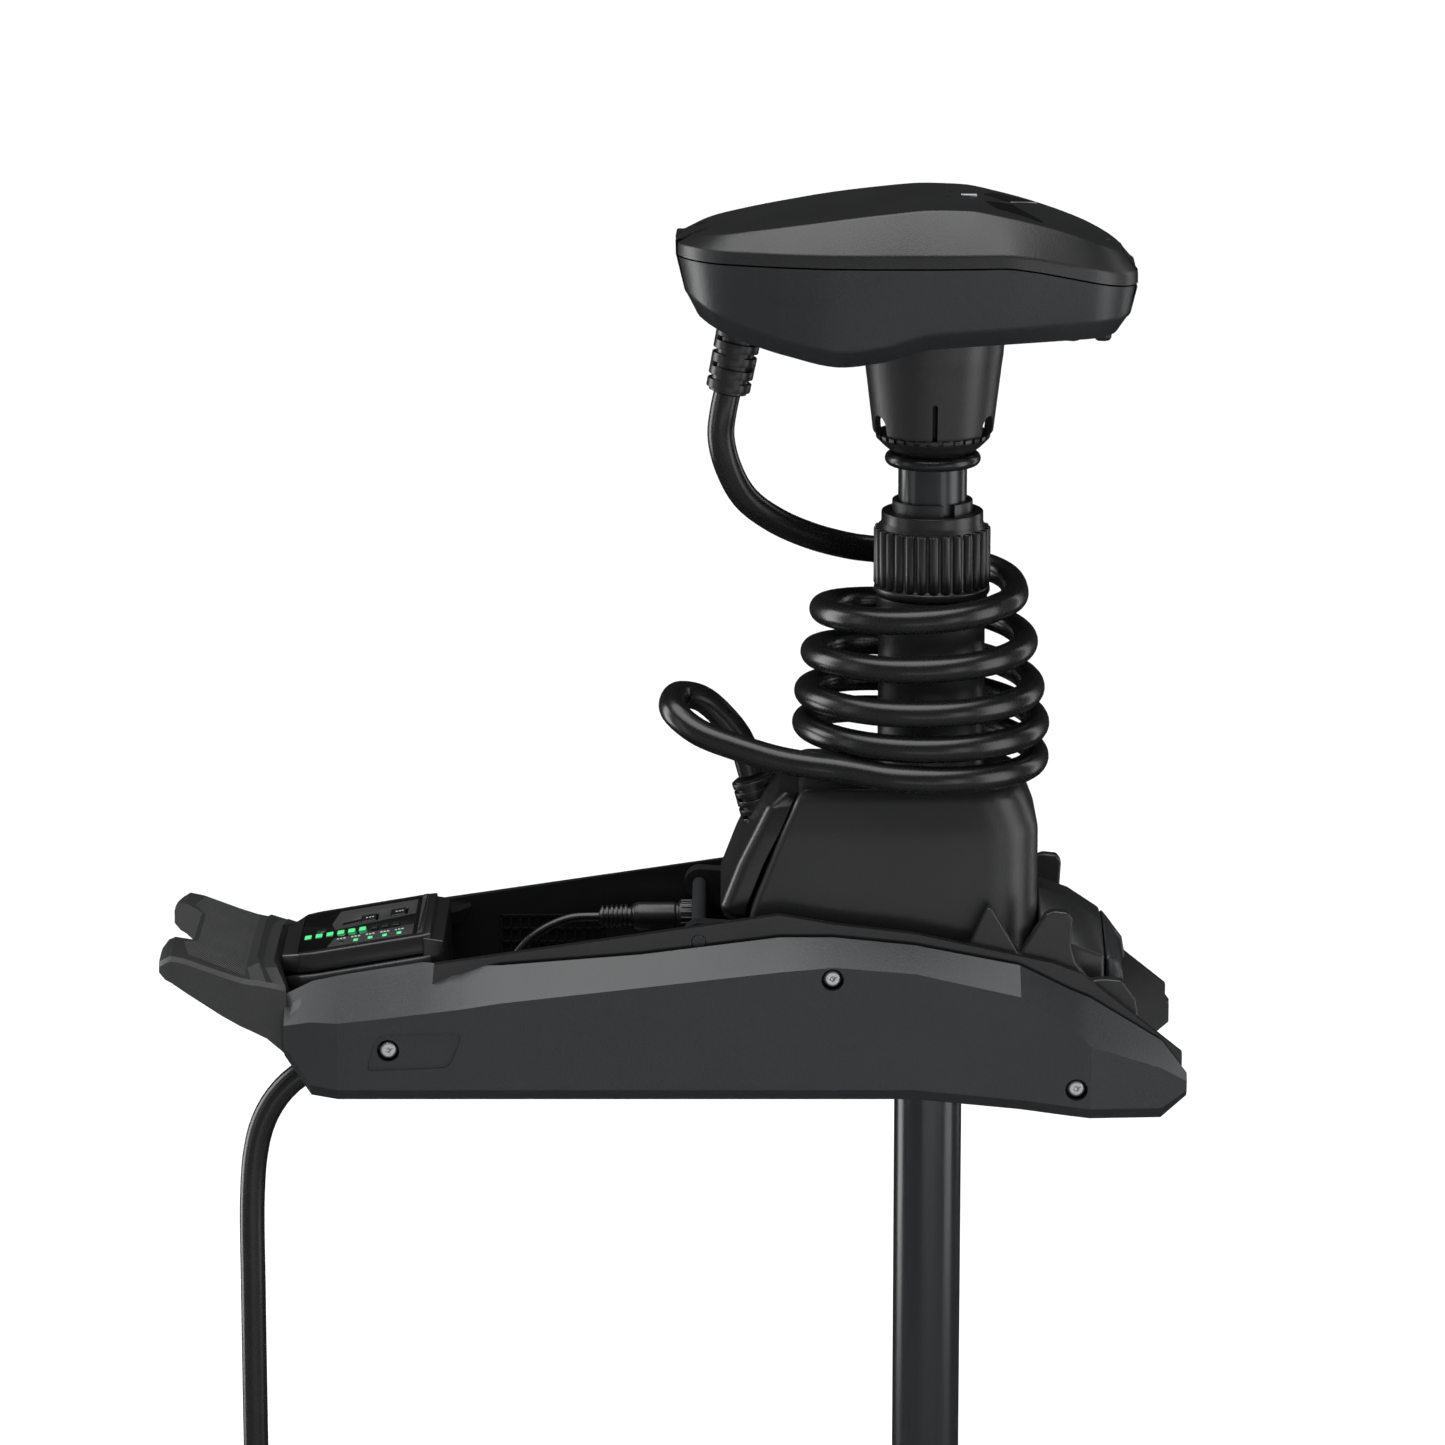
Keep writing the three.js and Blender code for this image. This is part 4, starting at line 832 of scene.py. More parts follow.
def headShells():
    seam = lambda x: along(head["seam"], x)
    top = lambda x: along(head["top"], x)
    under = lambda x: along(head["under"], x)
    cover = headHalf("head_cover_shell", [
        (22, 307, head["seamHalf"], lambda x: seam(x) + 0.5, 30),
        (22, 307, head["seamHalf"], lambda x: seam(x) + head["band"], 30),
        (32, 297, head["topHalf"], top, 24),
        (32, 297, head["topHalf"], lambda x: top(x) + 0.4, 24, 9)], [0, 1.5, 1.5, 0], 1.2, blackPlastic)
    # the pointer on top: two thin strokes, and a glossy facet on each side of the ridge
    inlays = []
    for side in (-1, 1):
        stroke = [(188, 11.5 * side), (191, 8.5 * side), (228, 0), (222, 3 * side)]
        facet = [(213, 14 * side), (229, 4 * side), (247, 38 * side), (219, 30 * side)]
        for outline, finish in ((stroke, softBlack), (facet, windowGloss)):
            rows = [[(x, y, top(x) + 1.2 * (1 - abs(y) / 50) + lift) for x, y in outline]
                    for lift in (-2, 0.9)]
            inlays.append(addMesh("inlay", *skin(rows), finish))
    cover = merged("head_cover_case", [cover, *inlays])
    place(cover, "shaft", "black_plastic", "head_cover")
    flag = block("head_pointer_mark", (198, -2.4, top(203) - 0.6), (208, 2.4, top(203) + 1.9), printWhite)
    place(edged(flag, 0.3), "shaft", "mark_white")

    base = headHalf("head_base_shell", [
        (22.5, 306.5, head["seamHalf"], lambda x: seam(x) - 0.6, 30),
        (27, 303, head["waistHalf"], lambda x: min(under(x) + head["bevel"], seam(x) - 12), 26),
        (36, 294, head["footHalf"], under, 20),
        (36, 294, head["footHalf"], lambda x: under(x) - 0.1, 20, 8)], [0, 1.8, 1.5, 0], 0, charcoal)
    feet = []
    z = head["feetHeight"]
    for x in head["feet"]:
        feet.append(turned("foot", [(0, z - 5.5), (4.2, z - 5.5), (5.6, z - 3.5), (5.6, z + 2), (0, z + 2)],
                           softBlack, (x, -16, 0), segments=6, soft=0.5, angle=20))
    place(merged("head_base_case", [base, *feet]), "shaft", "charcoal_panel", "head_base")


neck = {
    "x": 182, "slotHalf": 1.6, "slotTop": 427, "archHalf": 7, "archTop": 411,
    "archAngles": (-62, 62, -118, 118),
    # radius and height of the wall, and how soft each corner is
    "wall": [(33.5, 405), (37.0, 405), (37.6, 406.2), (42.5, 447), (43.6, 455), (44.5, 470), (40, 470),
             (38.5, 450)],
    "soft": [0.8, 0.8, 1, 6, 3, 0, 0, 0],
    "lock": [(21.8, 392.7), (25.5, 392.7), (30, 396), (35.6, 401.5), (36, 404.6), (21.8, 404.6)],
    "notches": 30,
    "seal": 4.1, "sealAt": 25.9,
}


def headNeck():
    x = neck["x"]
    cone = turned("head_neck_cone", neck["wall"], blackPlastic, (x, 0, 0), soft=neck["soft"], loop=True,
                  segments=128)
    half, slotTop = neck["slotHalf"], neck["slotTop"]
    slot = [block("slot", (x - half, -60, 404), (x + half, -20, slotTop), blackPlastic),
            turned("end", [(0, -60), (half, -60), (half, -20), (0, -20)], blackPlastic, (x, 0, slotTop),
                   (0, 1, 0), 24)]
    arches = []
    half, archTop = neck["archHalf"], neck["archTop"]
    for degrees in neck["archAngles"]:
        turn = math.radians(degrees)
        out = (math.sin(turn), -math.cos(turn), 0)
        arches.append(turned("crown", [(0, 20), (half, 20), (half, 60), (0, 60)], blackPlastic,
                             (x, 0, archTop), out, 40))
        leg = block("leg", (20, -half, 404), (60, half, archTop), blackPlastic)
        leg.data.transform(Matrix.Translation((x * mm, 0, 0)) @ Matrix.Rotation(turn - math.pi / 2, 4, "Z"))
        arches.append(leg)
    cone = combine(cone, *slot, *arches, angle=35)
    place(edged(cone, 0.5, 2, 40), "shaft", "black_plastic", "head_neck")

    ring = turned("neck_lock_ring_skin", neck["lock"], softBlack, (x, 0, 0), soft=0.8, loop=True)
    notches = []
    for k in range(neck["notches"]):
        turn = 2 * math.pi * k / neck["notches"]
        c, s = math.cos(turn), math.sin(turn)
        cutter = block("notch", (34.2, -1.6, 401.8), (38, 1.6, 406), softBlack)
        cutter.data.transform(Matrix(((c, -s, 0, x * mm), (s, c, 0, 0), (0, 0, 1, 0), (0, 0, 0, 1))))
        notches.append(cutter)
    place(combine(ring, merged("notches", notches)), "shaft", "cord_rubber", "neck_lock_ring")
    low, high = corners("shaft_o_ring")
    middle = (low.z + high.z) / 2
    section = [(neck["sealAt"] + neck["seal"] * math.cos(t), middle + neck["seal"] * math.sin(t))
               for t in [2 * math.pi * k / 20 for k in range(20)]]
    place(turned("shaft_o_ring_skin", section, rubber, (x, 0, 0), loop=True, segments=112, angle=60),
          "shaft", "cord_rubber", "shaft_o_ring")


def gland(name, start, end, radius, body, node):
    # a flexible relief: bands joined by pairs of bridges, turned a quarter from one gap to the next
    start, end = Vector(start), Vector(end)
    axis = (end - start).normalized()
    length = (end - start).length
    parts = [turned("core", [(0, 0), (radius - 2.6, 0), (radius - 2.6, length - 1), (0, length - 1)],
                    softBlack, start, axis, 64)]
    pitch = length / 6
    side = axis.cross(Vector((0, 1, 0))).normalized()
    front = axis.cross(side)
    for k in range(6):
        low, high = k * pitch, (k + 0.66) * pitch
        outer = radius - 0.12 * k
        parts.append(turned("band", [(radius - 3, low), (outer, low), (outer, high), (radius - 3, high)],
                            softBlack, start, axis, 64, 0.5, True))
        if k == 5:
            continue
        across = side if k % 2 else front
        for way in (-1, 1):
            rows = []
            for step in range(7):
                turn = math.radians(-26 + 52 * step / 6)
                out = across * (way * math.cos(turn)) + across.cross(axis) * math.sin(turn)
                rows.append([start + out * r + axis * h for r, h in
                             ((radius - 3, high - 0.5), (outer - 0.1, high - 0.5),
                              (outer - 0.1, high + pitch * 0.34 + 0.5),
                              (radius - 3, high + pitch * 0.34 + 0.5))])
            parts.append(addMesh("bridge", *skin(rows), softBlack))
    place(merged(name, parts), body, "cord_rubber", node)


headShells()
headNeck()
gland("head_gland_sleeve", (63.3, 0, 478), (53.7, 0, 429), 14.5, "shaft", "head_gland")
gland("coil_gland_sleeve", (79, 12, 148), (69.5, 12, 181), 14.5, "housing", "coil_gland")
gland("power_gland_sleeve", (-191, -30, 14.4), (-212, -30, -1), 11, "mount", "power_cord_gland")
print("head ready")


# shaft and depth collar

shaft = {"x": 182, "radius": 21.5, "wall": 3}
collar = {"foot": 302, "radius": 36.6, "ribs": 28, "rib": 3.3, "shoulder": 348, "top": 355}


def shaftTube():
    low, high = corners("shaft_tube")
    outer, inner = shaft["radius"], shaft["radius"] - shaft["wall"]
    tubeSkin = turned("shaft_tube_skin", [(inner, low.z), (outer, low.z), (outer, high.z), (inner, high.z)],
                      composite, (shaft["x"], 0, 0), soft=0.8, loop=True, segments=128)
    place(tubeSkin, "shaft", "shaft_composite", "shaft_tube")


def depthCollar():
    x, foot, shoulder = shaft["x"], collar["foot"], collar["shoulder"]
    nut = turned("depth_collar_core", [
        (28.6, foot), (35.2, foot), (36.4, foot + 1.5), (36.4, foot + 5), (34.2, foot + 6.5),
        (34.2, shoulder - 7), (33.2, shoulder - 3), (31.9, shoulder), (31.9, collar["top"]),
        (25.8, collar["top"]), (25.8, shoulder), (28.6, shoulder - 8)],
        softBlack, (x, 0, 0), soft=[0.5, 1, 1, 1, 1, 2, 2, 1.2, 1.2, 0.8, 0.5, 0.5], loop=True, segments=112)
    ribs = grown("ribs", ringTree, {
        "Count": collar["ribs"], "Radius": (collar["radius"] - collar["rib"]) * mm,
        "Width": collar["rib"] * mm, "Depth": (shoulder - foot - 9) * mm,
        "Centre": Vector((x, 0, (foot + 5.5 + shoulder - 3) / 2)) * mm, "Finish": softBlack})
    ribs = edged(ribs, 1.5, 3, 50)
    place(merged("depth_collar_grip", [nut, ribs]), "collar_nut", "black_plastic", "depth_collar_nut")
    low, high = corners("depth_collet")
    collet = turned("depth_collet_skin", [(21.9, low.z), (25.2, low.z), (25.2, high.z), (21.9, high.z)],
                    blackPlastic, (x, 0, 0), soft=0.7, loop=True, segments=112)
    slot = block("slot", (0, -3.75, low.z - 1), (60, 3.75, high.z + 1), blackPlastic)
    turn = Matrix.Translation((x * mm, 0, 0)) @ Matrix.Rotation(math.radians(-67), 4, "Z")
    slot.data.transform(turn)
    place(edged(combine(collet, slot), 0.4, 2, 40), "collet", "black_plastic", "depth_collet")


shaftTube()
depthCollar()
print("shaft and collar ready")


# steering housing

housing = {
    # height, rear, front, half width
    "levels": [(24, 98, 246, 50), (60, 72, 249, 60.5), (107, 66, 249, 62), (160, 87, 249, 60),
               (181, 96.5, 241, 57), (188, 101, 236, 54)],
    "soft": [0, 7, 12, 5, 2.5, 0], "rear": 5, "front": 34, "wall": 3.5, "pivot": (36, 97),
}


def roundedPlan(x0, x1, half, z, rear, front, steps=10):
    points = []
    for cx, cy, quarter, radius in ((x1 - front, half - front, 0, front), (x0 + rear, half - rear, 1, rear),
                                    (x0 + rear, rear - half, 2, rear), (x1 - front, front - half, 3, front)):
        for k in range(steps + 1):
            turn = (quarter + k / steps) * math.pi / 2
            points.append(Vector((cx + radius * math.cos(turn), cy + radius * math.sin(turn), z)))
    return points


def housingSkin(name, inset, finish):
    rings = []
    for i, (z, x0, x1, half) in enumerate(housing["levels"]):
        lift = inset * (1 if i == 0 else -1 if i == 5 else 0)
        rings.append(roundedPlan(x0 + inset, x1 - inset, half - inset, z + lift,
                                 housing["rear"] - inset * 0.5, housing["front"] - inset))
    first, last = rings[0], rings[-1]
    rings.insert(0, [p.lerp(Vector((170, 0, p.z)), 0.12) for p in first])
    rings.append([p.lerp(Vector((170, 0, p.z)), 0.12) for p in last])
    soft = [0, 5, *housing["soft"][1:-1], 2.5, 0]
    columns = [softened(line, soft, 5) for line in zip(*rings)]
    return addMesh(name, *skin([list(line) for line in zip(*columns)]), finish, 40)


def pivotArm(side):
    px, pz = housing["pivot"]
    near, far = sorted((59 * side, 72 * side))
    web = prism("web", [(px, pz - 9.5), (px, pz + 9.5), (92, pz + 6), (92, pz - 24), (px + 20, pz - 18)],
                near, far, blackPlastic, "y")
    boss = turned("boss", [(0, near), (9.5, near), (9.5, far), (0, far)], blackPlastic, (px, 0, pz),
                  (0, 1, 0), 48)
    return combine(web, boss, operation="UNION")


def steeringHousing():
    shell = housingSkin("housing_case", 0, blackPlastic)
    arms = [pivotArm(-1), pivotArm(1)]
    shell = combine(shell, *arms, operation="UNION", angle=40)
    hollow = housingSkin("hollow", housing["wall"], blackPlastic)
    x = shaft["x"]
    mouth = turned("mouth", [(0, 175), (33.8, 175), (33.8, 200), (0, 200)], blackPlastic, (x, 0, 0),
                   segments=64)
    foot = turned("foot", [(0, 15), (30, 15), (30, 40), (0, 40)], blackPlastic, (x, 0, 0), segments=64)
    px, pz = housing["pivot"]
    pin = turned("pin", [(0, -90), (4.8, -90), (4.8, 90), (0, 90)], blackPlastic, (px, 0, pz), (0, 1, 0), 32)
    shell = combine(shell, hollow, mouth, foot, pin, angle=40)
    place(shell, "housing", "black_plastic", "housing_shell")

    rings = []
    for z, inset in ((101, 7), (106, 2), (112, 0), (140, 0), (160, 0), (176, 1), (184, 5)):
        rear = along([(level[0], level[1]) for level in housing["levels"]], z)
        half = along([(level[0], level[3]) for level in housing["levels"]], z) * 0.93 - inset
        rings.append(roundedPlan(rear - 17 + inset, rear - 0.4, half, z, 8, 1.2))
    columns = [softened(line, [0, 2, 2, 4, 4, 2, 0], 3) for line in zip(*rings)]
    cover = addMesh("housing_cover_skin", *skin([list(line) for line in zip(*columns)]), softBlack, 40)
    place(cover, "housing", "black_plastic", "housing_rear_cover")

    low, high = corners("steering_tube")
    tubeSkin = turned("steering_tube_skin", [
        (30, low.z), (41.5, low.z), (41.5, 182.7), (34.6, 182.7), (34.6, 190), (33.5, 191.5),
        (33.5, high.z - 9),
        (34.8, high.z - 8), (34.8, high.z), (30, high.z)], blackPlastic, (x, 0, 0), soft=0.8, loop=True)
    place(tubeSkin, "housing", "black_plastic", "steering_tube")


def housingNose():
    low, high = corners("housing_nose")
    # x, underside, ridge, shoulder, half width
    stations = [(low.x, 54, 115, 95, 56), (270, 54, 107.5, 88, 55), (290.6, 54, 93.5, 80, 53)]
    strip = [(291.4, 54, 93, 79.6, 52.8), (299, 56, 83, 76, 51), (303, 60, 70, 66, 48)]
    made = []
    for group, finish in ((stations, blackPlastic), (strip, charcoal)):
        rows = [[Vector((x, y, z)) for y, z in ((-side, down), (side, down), (side, up), (14, ridge),
                                               (-14, ridge), (-side, up))] for x, down, ridge, up,
                                               side in group]
        made.append(edged(addMesh("nose", *skin(rows), finish), 2.2, 3, 12))
    inner = block("web", (280, -42, 58), (298, 42, 72), softBlack)
    place(merged("housing_nose_skin", [*made, inner]), "housing", "black_plastic", "housing_nose")


steeringHousing()
housingNose()
print("housing ready")


# deck mount

panel = {
    # x, outer face, underside, top of the face, top edge across, top edge height
    "stations": [(-223, 86, 24, 44, 70, 60), (-206, 95.2, 0, 49, 60, 66), (-189, 105, 0, 51, 58, 69),
                 (-170, 105, 0, 53, 57, 72), (-137, 105, 0, 57, 56, 77), (-112, 105, 0, 60, 75, 80),
                 (-87, 105, 0, 64, 84.8, 83), (0, 105, 0, 74, 84.8, 90), (86, 105, 0, 84, 84.8, 101),
                 (120, 105, 0, 87, 84.8, 101), (170, 105, 0, 83, 84.8, 96), (236, 105, -6.5, 68, 84.8, 83),
                 (268, 105, -11, 49, 84.8, 67), (280, 105, -12.5, 36, 84.8, 62), (325, 91, -16, 18, 84, 34),
                 (341, 86, -2, 8, 83, 13)],
    "bolts": [(-157, 33), (119, 79), (271, 8)], "boltRecess": 7,
    "badge": [(-171.5, 20), (-164, 44), (-110, 45.5), (-119, 22)],
}
railInner = 81.3


def panelSkin(side):
    rows = []
    for x, out, low, face, across, top in panel["stations"]:
        foot = max(railInner + 1, out - 7)
        chamfer = min(8, (face - low) * 0.4)
        under = top - 4 if across > 80 else face + 3
        line = [(railInner, low), (foot, low), (out, low + chamfer), (out, face), (across, top),
                (across, top - 3), (railInner, under)]
        rows.append([Vector((x, y * side, z)) for y, z in line])
    piece = addMesh("panel", *skin(rows), charcoal, 10)
    tools = []
    for x, z in panel["bolts"]:
        tools.append(turned("recess", [(0, 93), (panel["boltRecess"], 93), (panel["boltRecess"], 110),
                                       (0, 110)],
                            softBlack, (x, 0, z), (0, side, 0), 48))
    badge = [Vector((x, z, 0)) for x, z in panel["badge"]]
    outline = softened(badge, 6, 5, True)
    low, high = sorted((103.6 * side, 110 * side))
    tools.append(prism("badge", [(p.x, p.y) for p in outline], low, high, charcoal, "y"))
    piece = combine(piece, *tools, angle=14)
    return edged(piece, 1.6, 3, 13)


def boltHeads():
    crown = turned("bolt", [(0, 96.8), (5.6, 96.8), (5.6, 100), (5.2, 101.4), (4, 102.2), (0, 102.2)],
                   steel, (0, 0, 0), (0, 1, 0), 48, 0.5)
    socket = turned("hex", [(0, 100.4), (1.8, 100.4), (1.8, 104), (0, 104)], steel, (0, 0, 0), (0, 1, 0), 6,
                    angle=20)
    shank = turned("shank", [(0, 76), (3, 76), (3, 96.5), (0, 96.5)], steel, (0, 0, 0), (0, 1, 0), 32)
    bolt = merged("bolt_pattern", [edged(combine(crown, socket), 0.2, 1, 40), shank])
    names = ("rear", "middle", "front")
    for side, label in ((1, "port"), (-1, "starboard")):
        spots = [(x, 0, z) for x, z in panel["bolts"]]
        made = grown("panel_bolts_" + label, copyTree, {
            "Pattern": bolt, "Turn": (0, 0, 0 if side > 0 else math.pi), "Finish": steel}, spots)
        place(made, "mount", "bright_steel", *[f"panel_bolt_{name}_{label}" for name in names])
    bpy.data.objects.remove(bolt)


def deckMount():
    for side, label in ((1, "port"), (-1, "starboard")):
        made = panelSkin(side)
        made.name = "side_panel_shell_" + label
        place(made, "mount", "charcoal_panel", "side_panel_" + label)
        rail = refined("frame_rail_" + label, softBlack, 0.9)
        place(rail, "mount", "black_plastic", "frame_rail_" + label)
        rest = refined("motor_rest_" + label, blackPlastic, 1.6, 3)
        place(rest, "mount", "black_plastic", "motor_rest_" + label)
    boltHeads()
    place(refined("base_plate", powderCoat, 0.7), "mount", "painted_aluminium", "base_plate")
    for node in ("tilt_pivot_pin", "pedal_pivot_pin"):
        place(refined(node, powderCoat, 0.6), "mount", "painted_aluminium", node)
    # stiffening ribs and a ledge on the inner face of the far rail
    uprights = row("uprights", softBlack, 12, (-92, 74.3, 58.5), (5.9, 0, 0), (1.2, 2.4, 27))
    levels = row("levels", softBlack, 4, (-59.5, 74.3, 45.5), (0, 0, 8.7), (66, 2.4, 1.2))
    ledge = block("ledge", (-128, 73.2, 34), (60, 75.2, 36.5), softBlack)
    place(merged("trough_ribs", [uprights, levels, edged(ledge, 0.4)]), "mount", "black_plastic")


deckMount()
print("deck mount ready")


# display console

lens = {"middle": (-179, 0, 85.4), "tilt": 9.6, "length": 76, "half": 44,
        "upper": [(-16, -2), (-19, 13), (-15, 41), (35.5, 41), (35.5, 7)],
        "lower": [(-15.5, -23), (-19.5, -41.5), (35.5, -41.5), (35.5, -18)]}
lamps = {
    # slot, then finish, count, first place, spacing and size of each row
    "display_lamps": ("lamp_green", [
        (lampGreen, 6, (-33.2, -10, 0.1), 7.0, (4.3, 7.4, 0.9)),
        (lampGreen, 4, (-1.2, -35, 0.4), 9.25, (3.0, 4.6, 0.7))]),
    "display_lamps_unlit": ("display_gloss", [
        (lampDark, 3, (9.5, -10, 0.1), 7.0, (4.3, 7.4, 0.9)),
        (lampDark, 1, (-10.6, -35, 0.4), 9.25, (3.0, 4.6, 0.7))]),
}


def onLens(piece):
    turn = Matrix.Rotation(math.radians(-lens["tilt"]), 4, "Y")
    piece.data.transform(Matrix.Translation(Vector(lens["middle"]) * mm) @ turn)
    return piece


def lensHeight(x):
    return lens["middle"][2] + (x - lens["middle"][0]) * math.tan(math.radians(lens["tilt"]))


def displayWindow():
    half, wide = lens["length"] / 2, lens["half"]
    slots = []
    for node in ("power_button", "mode_button"):
        low, high = corners(node)
        middle = (low + high) / 2
        u = (middle.x - lens["middle"][0]) / math.cos(math.radians(lens["tilt"]))
        slots.append((u, middle.y))
    glass = block("glass", (-half, -wide, -3), (half, wide, 0), windowGloss)
    grooves = [block("well", (u - 4.9, v - 7.9, -4), (u + 4.9, v + 7.9, 2), windowGloss) for u, v in slots]
    glass = edged(combine(glass, *grooves), 0.4, 2, 40)
    upper = prism("upper", lens["upper"], -0.4, 0.35, matteGrey)
    wells = [block("well", (u - 5.6, v - 8.6, -4), (u + 5.6, v + 8.6, 2), matteGrey) for u, v in slots]
    channel = prism("channel", [(-12, 6), (-12, 12), (0, 15), (0, 9)], -1, 2, matteGrey)
    upper = combine(upper, *wells, channel)
    lower = prism("lower", lens["lower"], -0.4, 0.35, matteGrey)
    sensor = turned("sensor", [(0, 0), (3.4, 0), (3.1, 0.3), (0, 0.3)], lampDark, (-25, 2, 0), segments=32)
    face = merged("display_face", [glass, edged(upper, 0.2), edged(lower, 0.2), sensor])
    place(onLens(face), "mount", "display_gloss", "display_lens")

    for name, (slot, rows) in lamps.items():
        made = [row("lamp", finish, count, start, (step, 0, 0), size)
                for finish, count, start, step, size in rows]
        place(onLens(edged(merged(name, made), 0.35, 2)), "mount", slot)
    marks = [row("dash", printWhite, 3, (-13 + 9.3 * k, -26.5, 0.45), (2.1, 0, 0),
                 (1.4, 2.2 + 0.5 * (k % 2), 0.2))
             for k in range(5)]
    place(onLens(merged("display_marks", marks)), "mount", "mark_white")
    for node, (u, v) in zip(("power_button", "mode_button"), slots):
        cap = refined(node, softBlack, 0.5, 3)
        place(cap, node, "black_plastic", node)
        mark = onLens(row("mark", printWhite, 3, (u - 1.9, v, 0.7), (1.9, 0, 0), (1.2, 1.8, 0.12)))
        mark.name = node + "_mark"
        place(mark, node, "mark_white")


def consoleShroud():
    # two stepped walls round the window: x, half width at the window, its rim above the glass
    stations = [(-227, 34), (-215, 48), (-206, 50), (-138, 50), (-132, 49)]
    made = []
    for name, drops, grow, finish in (("rim", (-0.6, 12), 0, softBlack),
                                      ("step", (12.8, 21), 3.2, blackPlastic)):
        rows = []
        for x, half in stations:
            top = lensHeight(x) - drops[0] - (2.5 if x < -220 else 0)
            low = lensHeight(x) - drops[1]
            at = x + (grow * 0.8 if x < -220 else 0)
            wide = half + grow
            rows.append([Vector((at, y, z)) for y, z in (
                (-wide - 1, low), (wide + 1, low), (wide + 0.8, low + 5), (wide, top), (-wide, top),
                (-wide - 0.8, low + 5))])
        made.append(edged(addMesh(name, *skin(rows), finish), 1.2, 3, 14))
    pocket = onLens(block("pocket", (-38.2, -44.2, -8), (38.2, 44.2, 9), softBlack))
    rim = combine(made[0], pocket, angle=20)
    fill = onLens(block("fill", (-38.1, -44.1, -8), (38.1, 44.1, -3.2), softBlack))
    wells = []
    for node in ("power_button", "mode_button"):
        low, high = corners(node)
        wells.append(block("well", low - Vector((0.8, 0.6, 2)), high + Vector((0.8, 0.6, 2)), softBlack))
    fill = combine(fill, *wells)
    cap = prism("cap", [(-137, 40), (-137, lensHeight(-137) - 1), (-124, lensHeight(-137) - 3), (-122.5, 40)],
                -52, 52, softBlack, "y")
    strip = onLens(block("strip", (38.6, -46, -2), (42.4, 46, 1.8), matteGrey))
    notches = [onLens(block("notch", (38, v - 1.2, -1), (41.2, v + 1.2, 3), matteGrey)) for v in (-33, 36)]
    strip = edged(combine(strip, *notches), 0.8, 2)
    body = edged(block("body", (-205, -57, 9), (-132.6, 57, 61), softBlack), 1.5)
    place(merged("display_console_shroud", [rim, made[1], fill, strip, body, edged(cap, 1)]), "mount",
          "black_plastic",
          "display_console")


consoleShroud()
displayWindow()
print("console ready")


# foot pedal

pedal = {
    # x, bottom, middle of the top, height of the side rim, half width, how far the sides sweep forward
    "stations": [(-301, 75, 83, 80, 73.5, 0), (-297, 71, 88, 83, 76, 0), (-293, 69.5, 89, 85, 78, 0),
                 (-284, 63, 85.7, 83, 78, 0), (-262, 48, 77.3, 74.8, 77.5, 0),
                 (-252, 41, 73.5, 70.8, 77.5, 2),
                 (-248.5, 38, 73.8, 69.5, 77.5, 5), (-242, 33, 77, 68, 77, 8), (-238.5, 29, 73.4, 67, 77, 9),
                 (-234.8, 25, 73.8, 66, 77, 10), (-231.6, 21, 74, 65, 76.5, 10)],
    "tread": [(-247.5, 70.5), (-283, 68.5), (-287.5, 44), (-279.5, 32)], "slope": 18 / 47,
    "pivot": (-205, 0, 30), "hollow": [(-274, 30), (-274, 72), (-262, 69), (-250, 65), (-236, 65), (-236, 8)],
    "cheek": [(-236, 60), (-230, 66), (-224, 66), (-212, 58), (-205, 39), (-197, 30), (-205, 21), (-213, 4),
              (-234, 20)],
}


def treadHeight(x):
    return 88 - pedal["slope"] * (x + 290)


def onTread(piece):
    turn = Matrix.Rotation(math.atan(pedal["slope"]), 4, "Y")
    piece.data.transform(Matrix.Translation(Vector((-290, 0, treadHeight(-290))) * mm) @ turn)
    return piece


def pedalFrame():
    rows = []
    for x, low, top, rim, half, sweep in pedal["stations"]:
        near = [(0, top, 0), (42, top, 0), (57, top, 0.3), (half - 2, min(top, rim + 1.5), 0.95),
                (half, rim - 1.5, 1),
                (half, low, 1)]
        line = [(x + share * sweep, y, z) for y, z, share in near]
        rows.append(line + [(a, -y, z) for a, y, z in line[:0:-1]])
    frameBlock = addMesh("pedal", *skin(rows), pedalPlastic, 12)
    hollow = prism("hollow", pedal["hollow"], -73, 73, pedalPlastic, "y")
    notch = addMesh("notch", *skin([[(-312, -50, 50), (-293, -36, 50), (-293, 36, 50), (-312, 50, 50)],
                                    [(-312, -53, 96), (-279, -31, 96), (-279, 31, 96), (-312, 53, 96)]]),
                    pedalPlastic)
    seat = addMesh("seat", *skin([[(x, y, treadHeight(x) + lift) for x, y in mirrored(pedal["tread"])]
                                  for lift in (-2.6, 12)]), pedalPlastic)
    frameBlock = combine(frameBlock, hollow, notch, seat, angle=14)
    for side in (-1, 1):
        near, far = sorted((64 * side, 73 * side))
        frameBlock = combine(frameBlock, prism("cheek", pedal["cheek"], near, far, pedalPlastic, "y"),
                             operation="UNION", angle=14)
    bore = turned("bore", [(0, -90), (4.3, -90), (4.3, 90), (0, 90)], pedalPlastic, pedal["pivot"],
                  (0, 1, 0), 32)
    frameBlock = combine(frameBlock, bore, angle=14)
    frameBlock = edged(frameBlock, 0.9, 3, 14)
    frameBlock.name = "pedal_shell"
    place(frameBlock, "pedal", "black_plastic", "pedal_frame")


def mirrored(side):
    return side + [(x, -y) for x, y in reversed(side)]


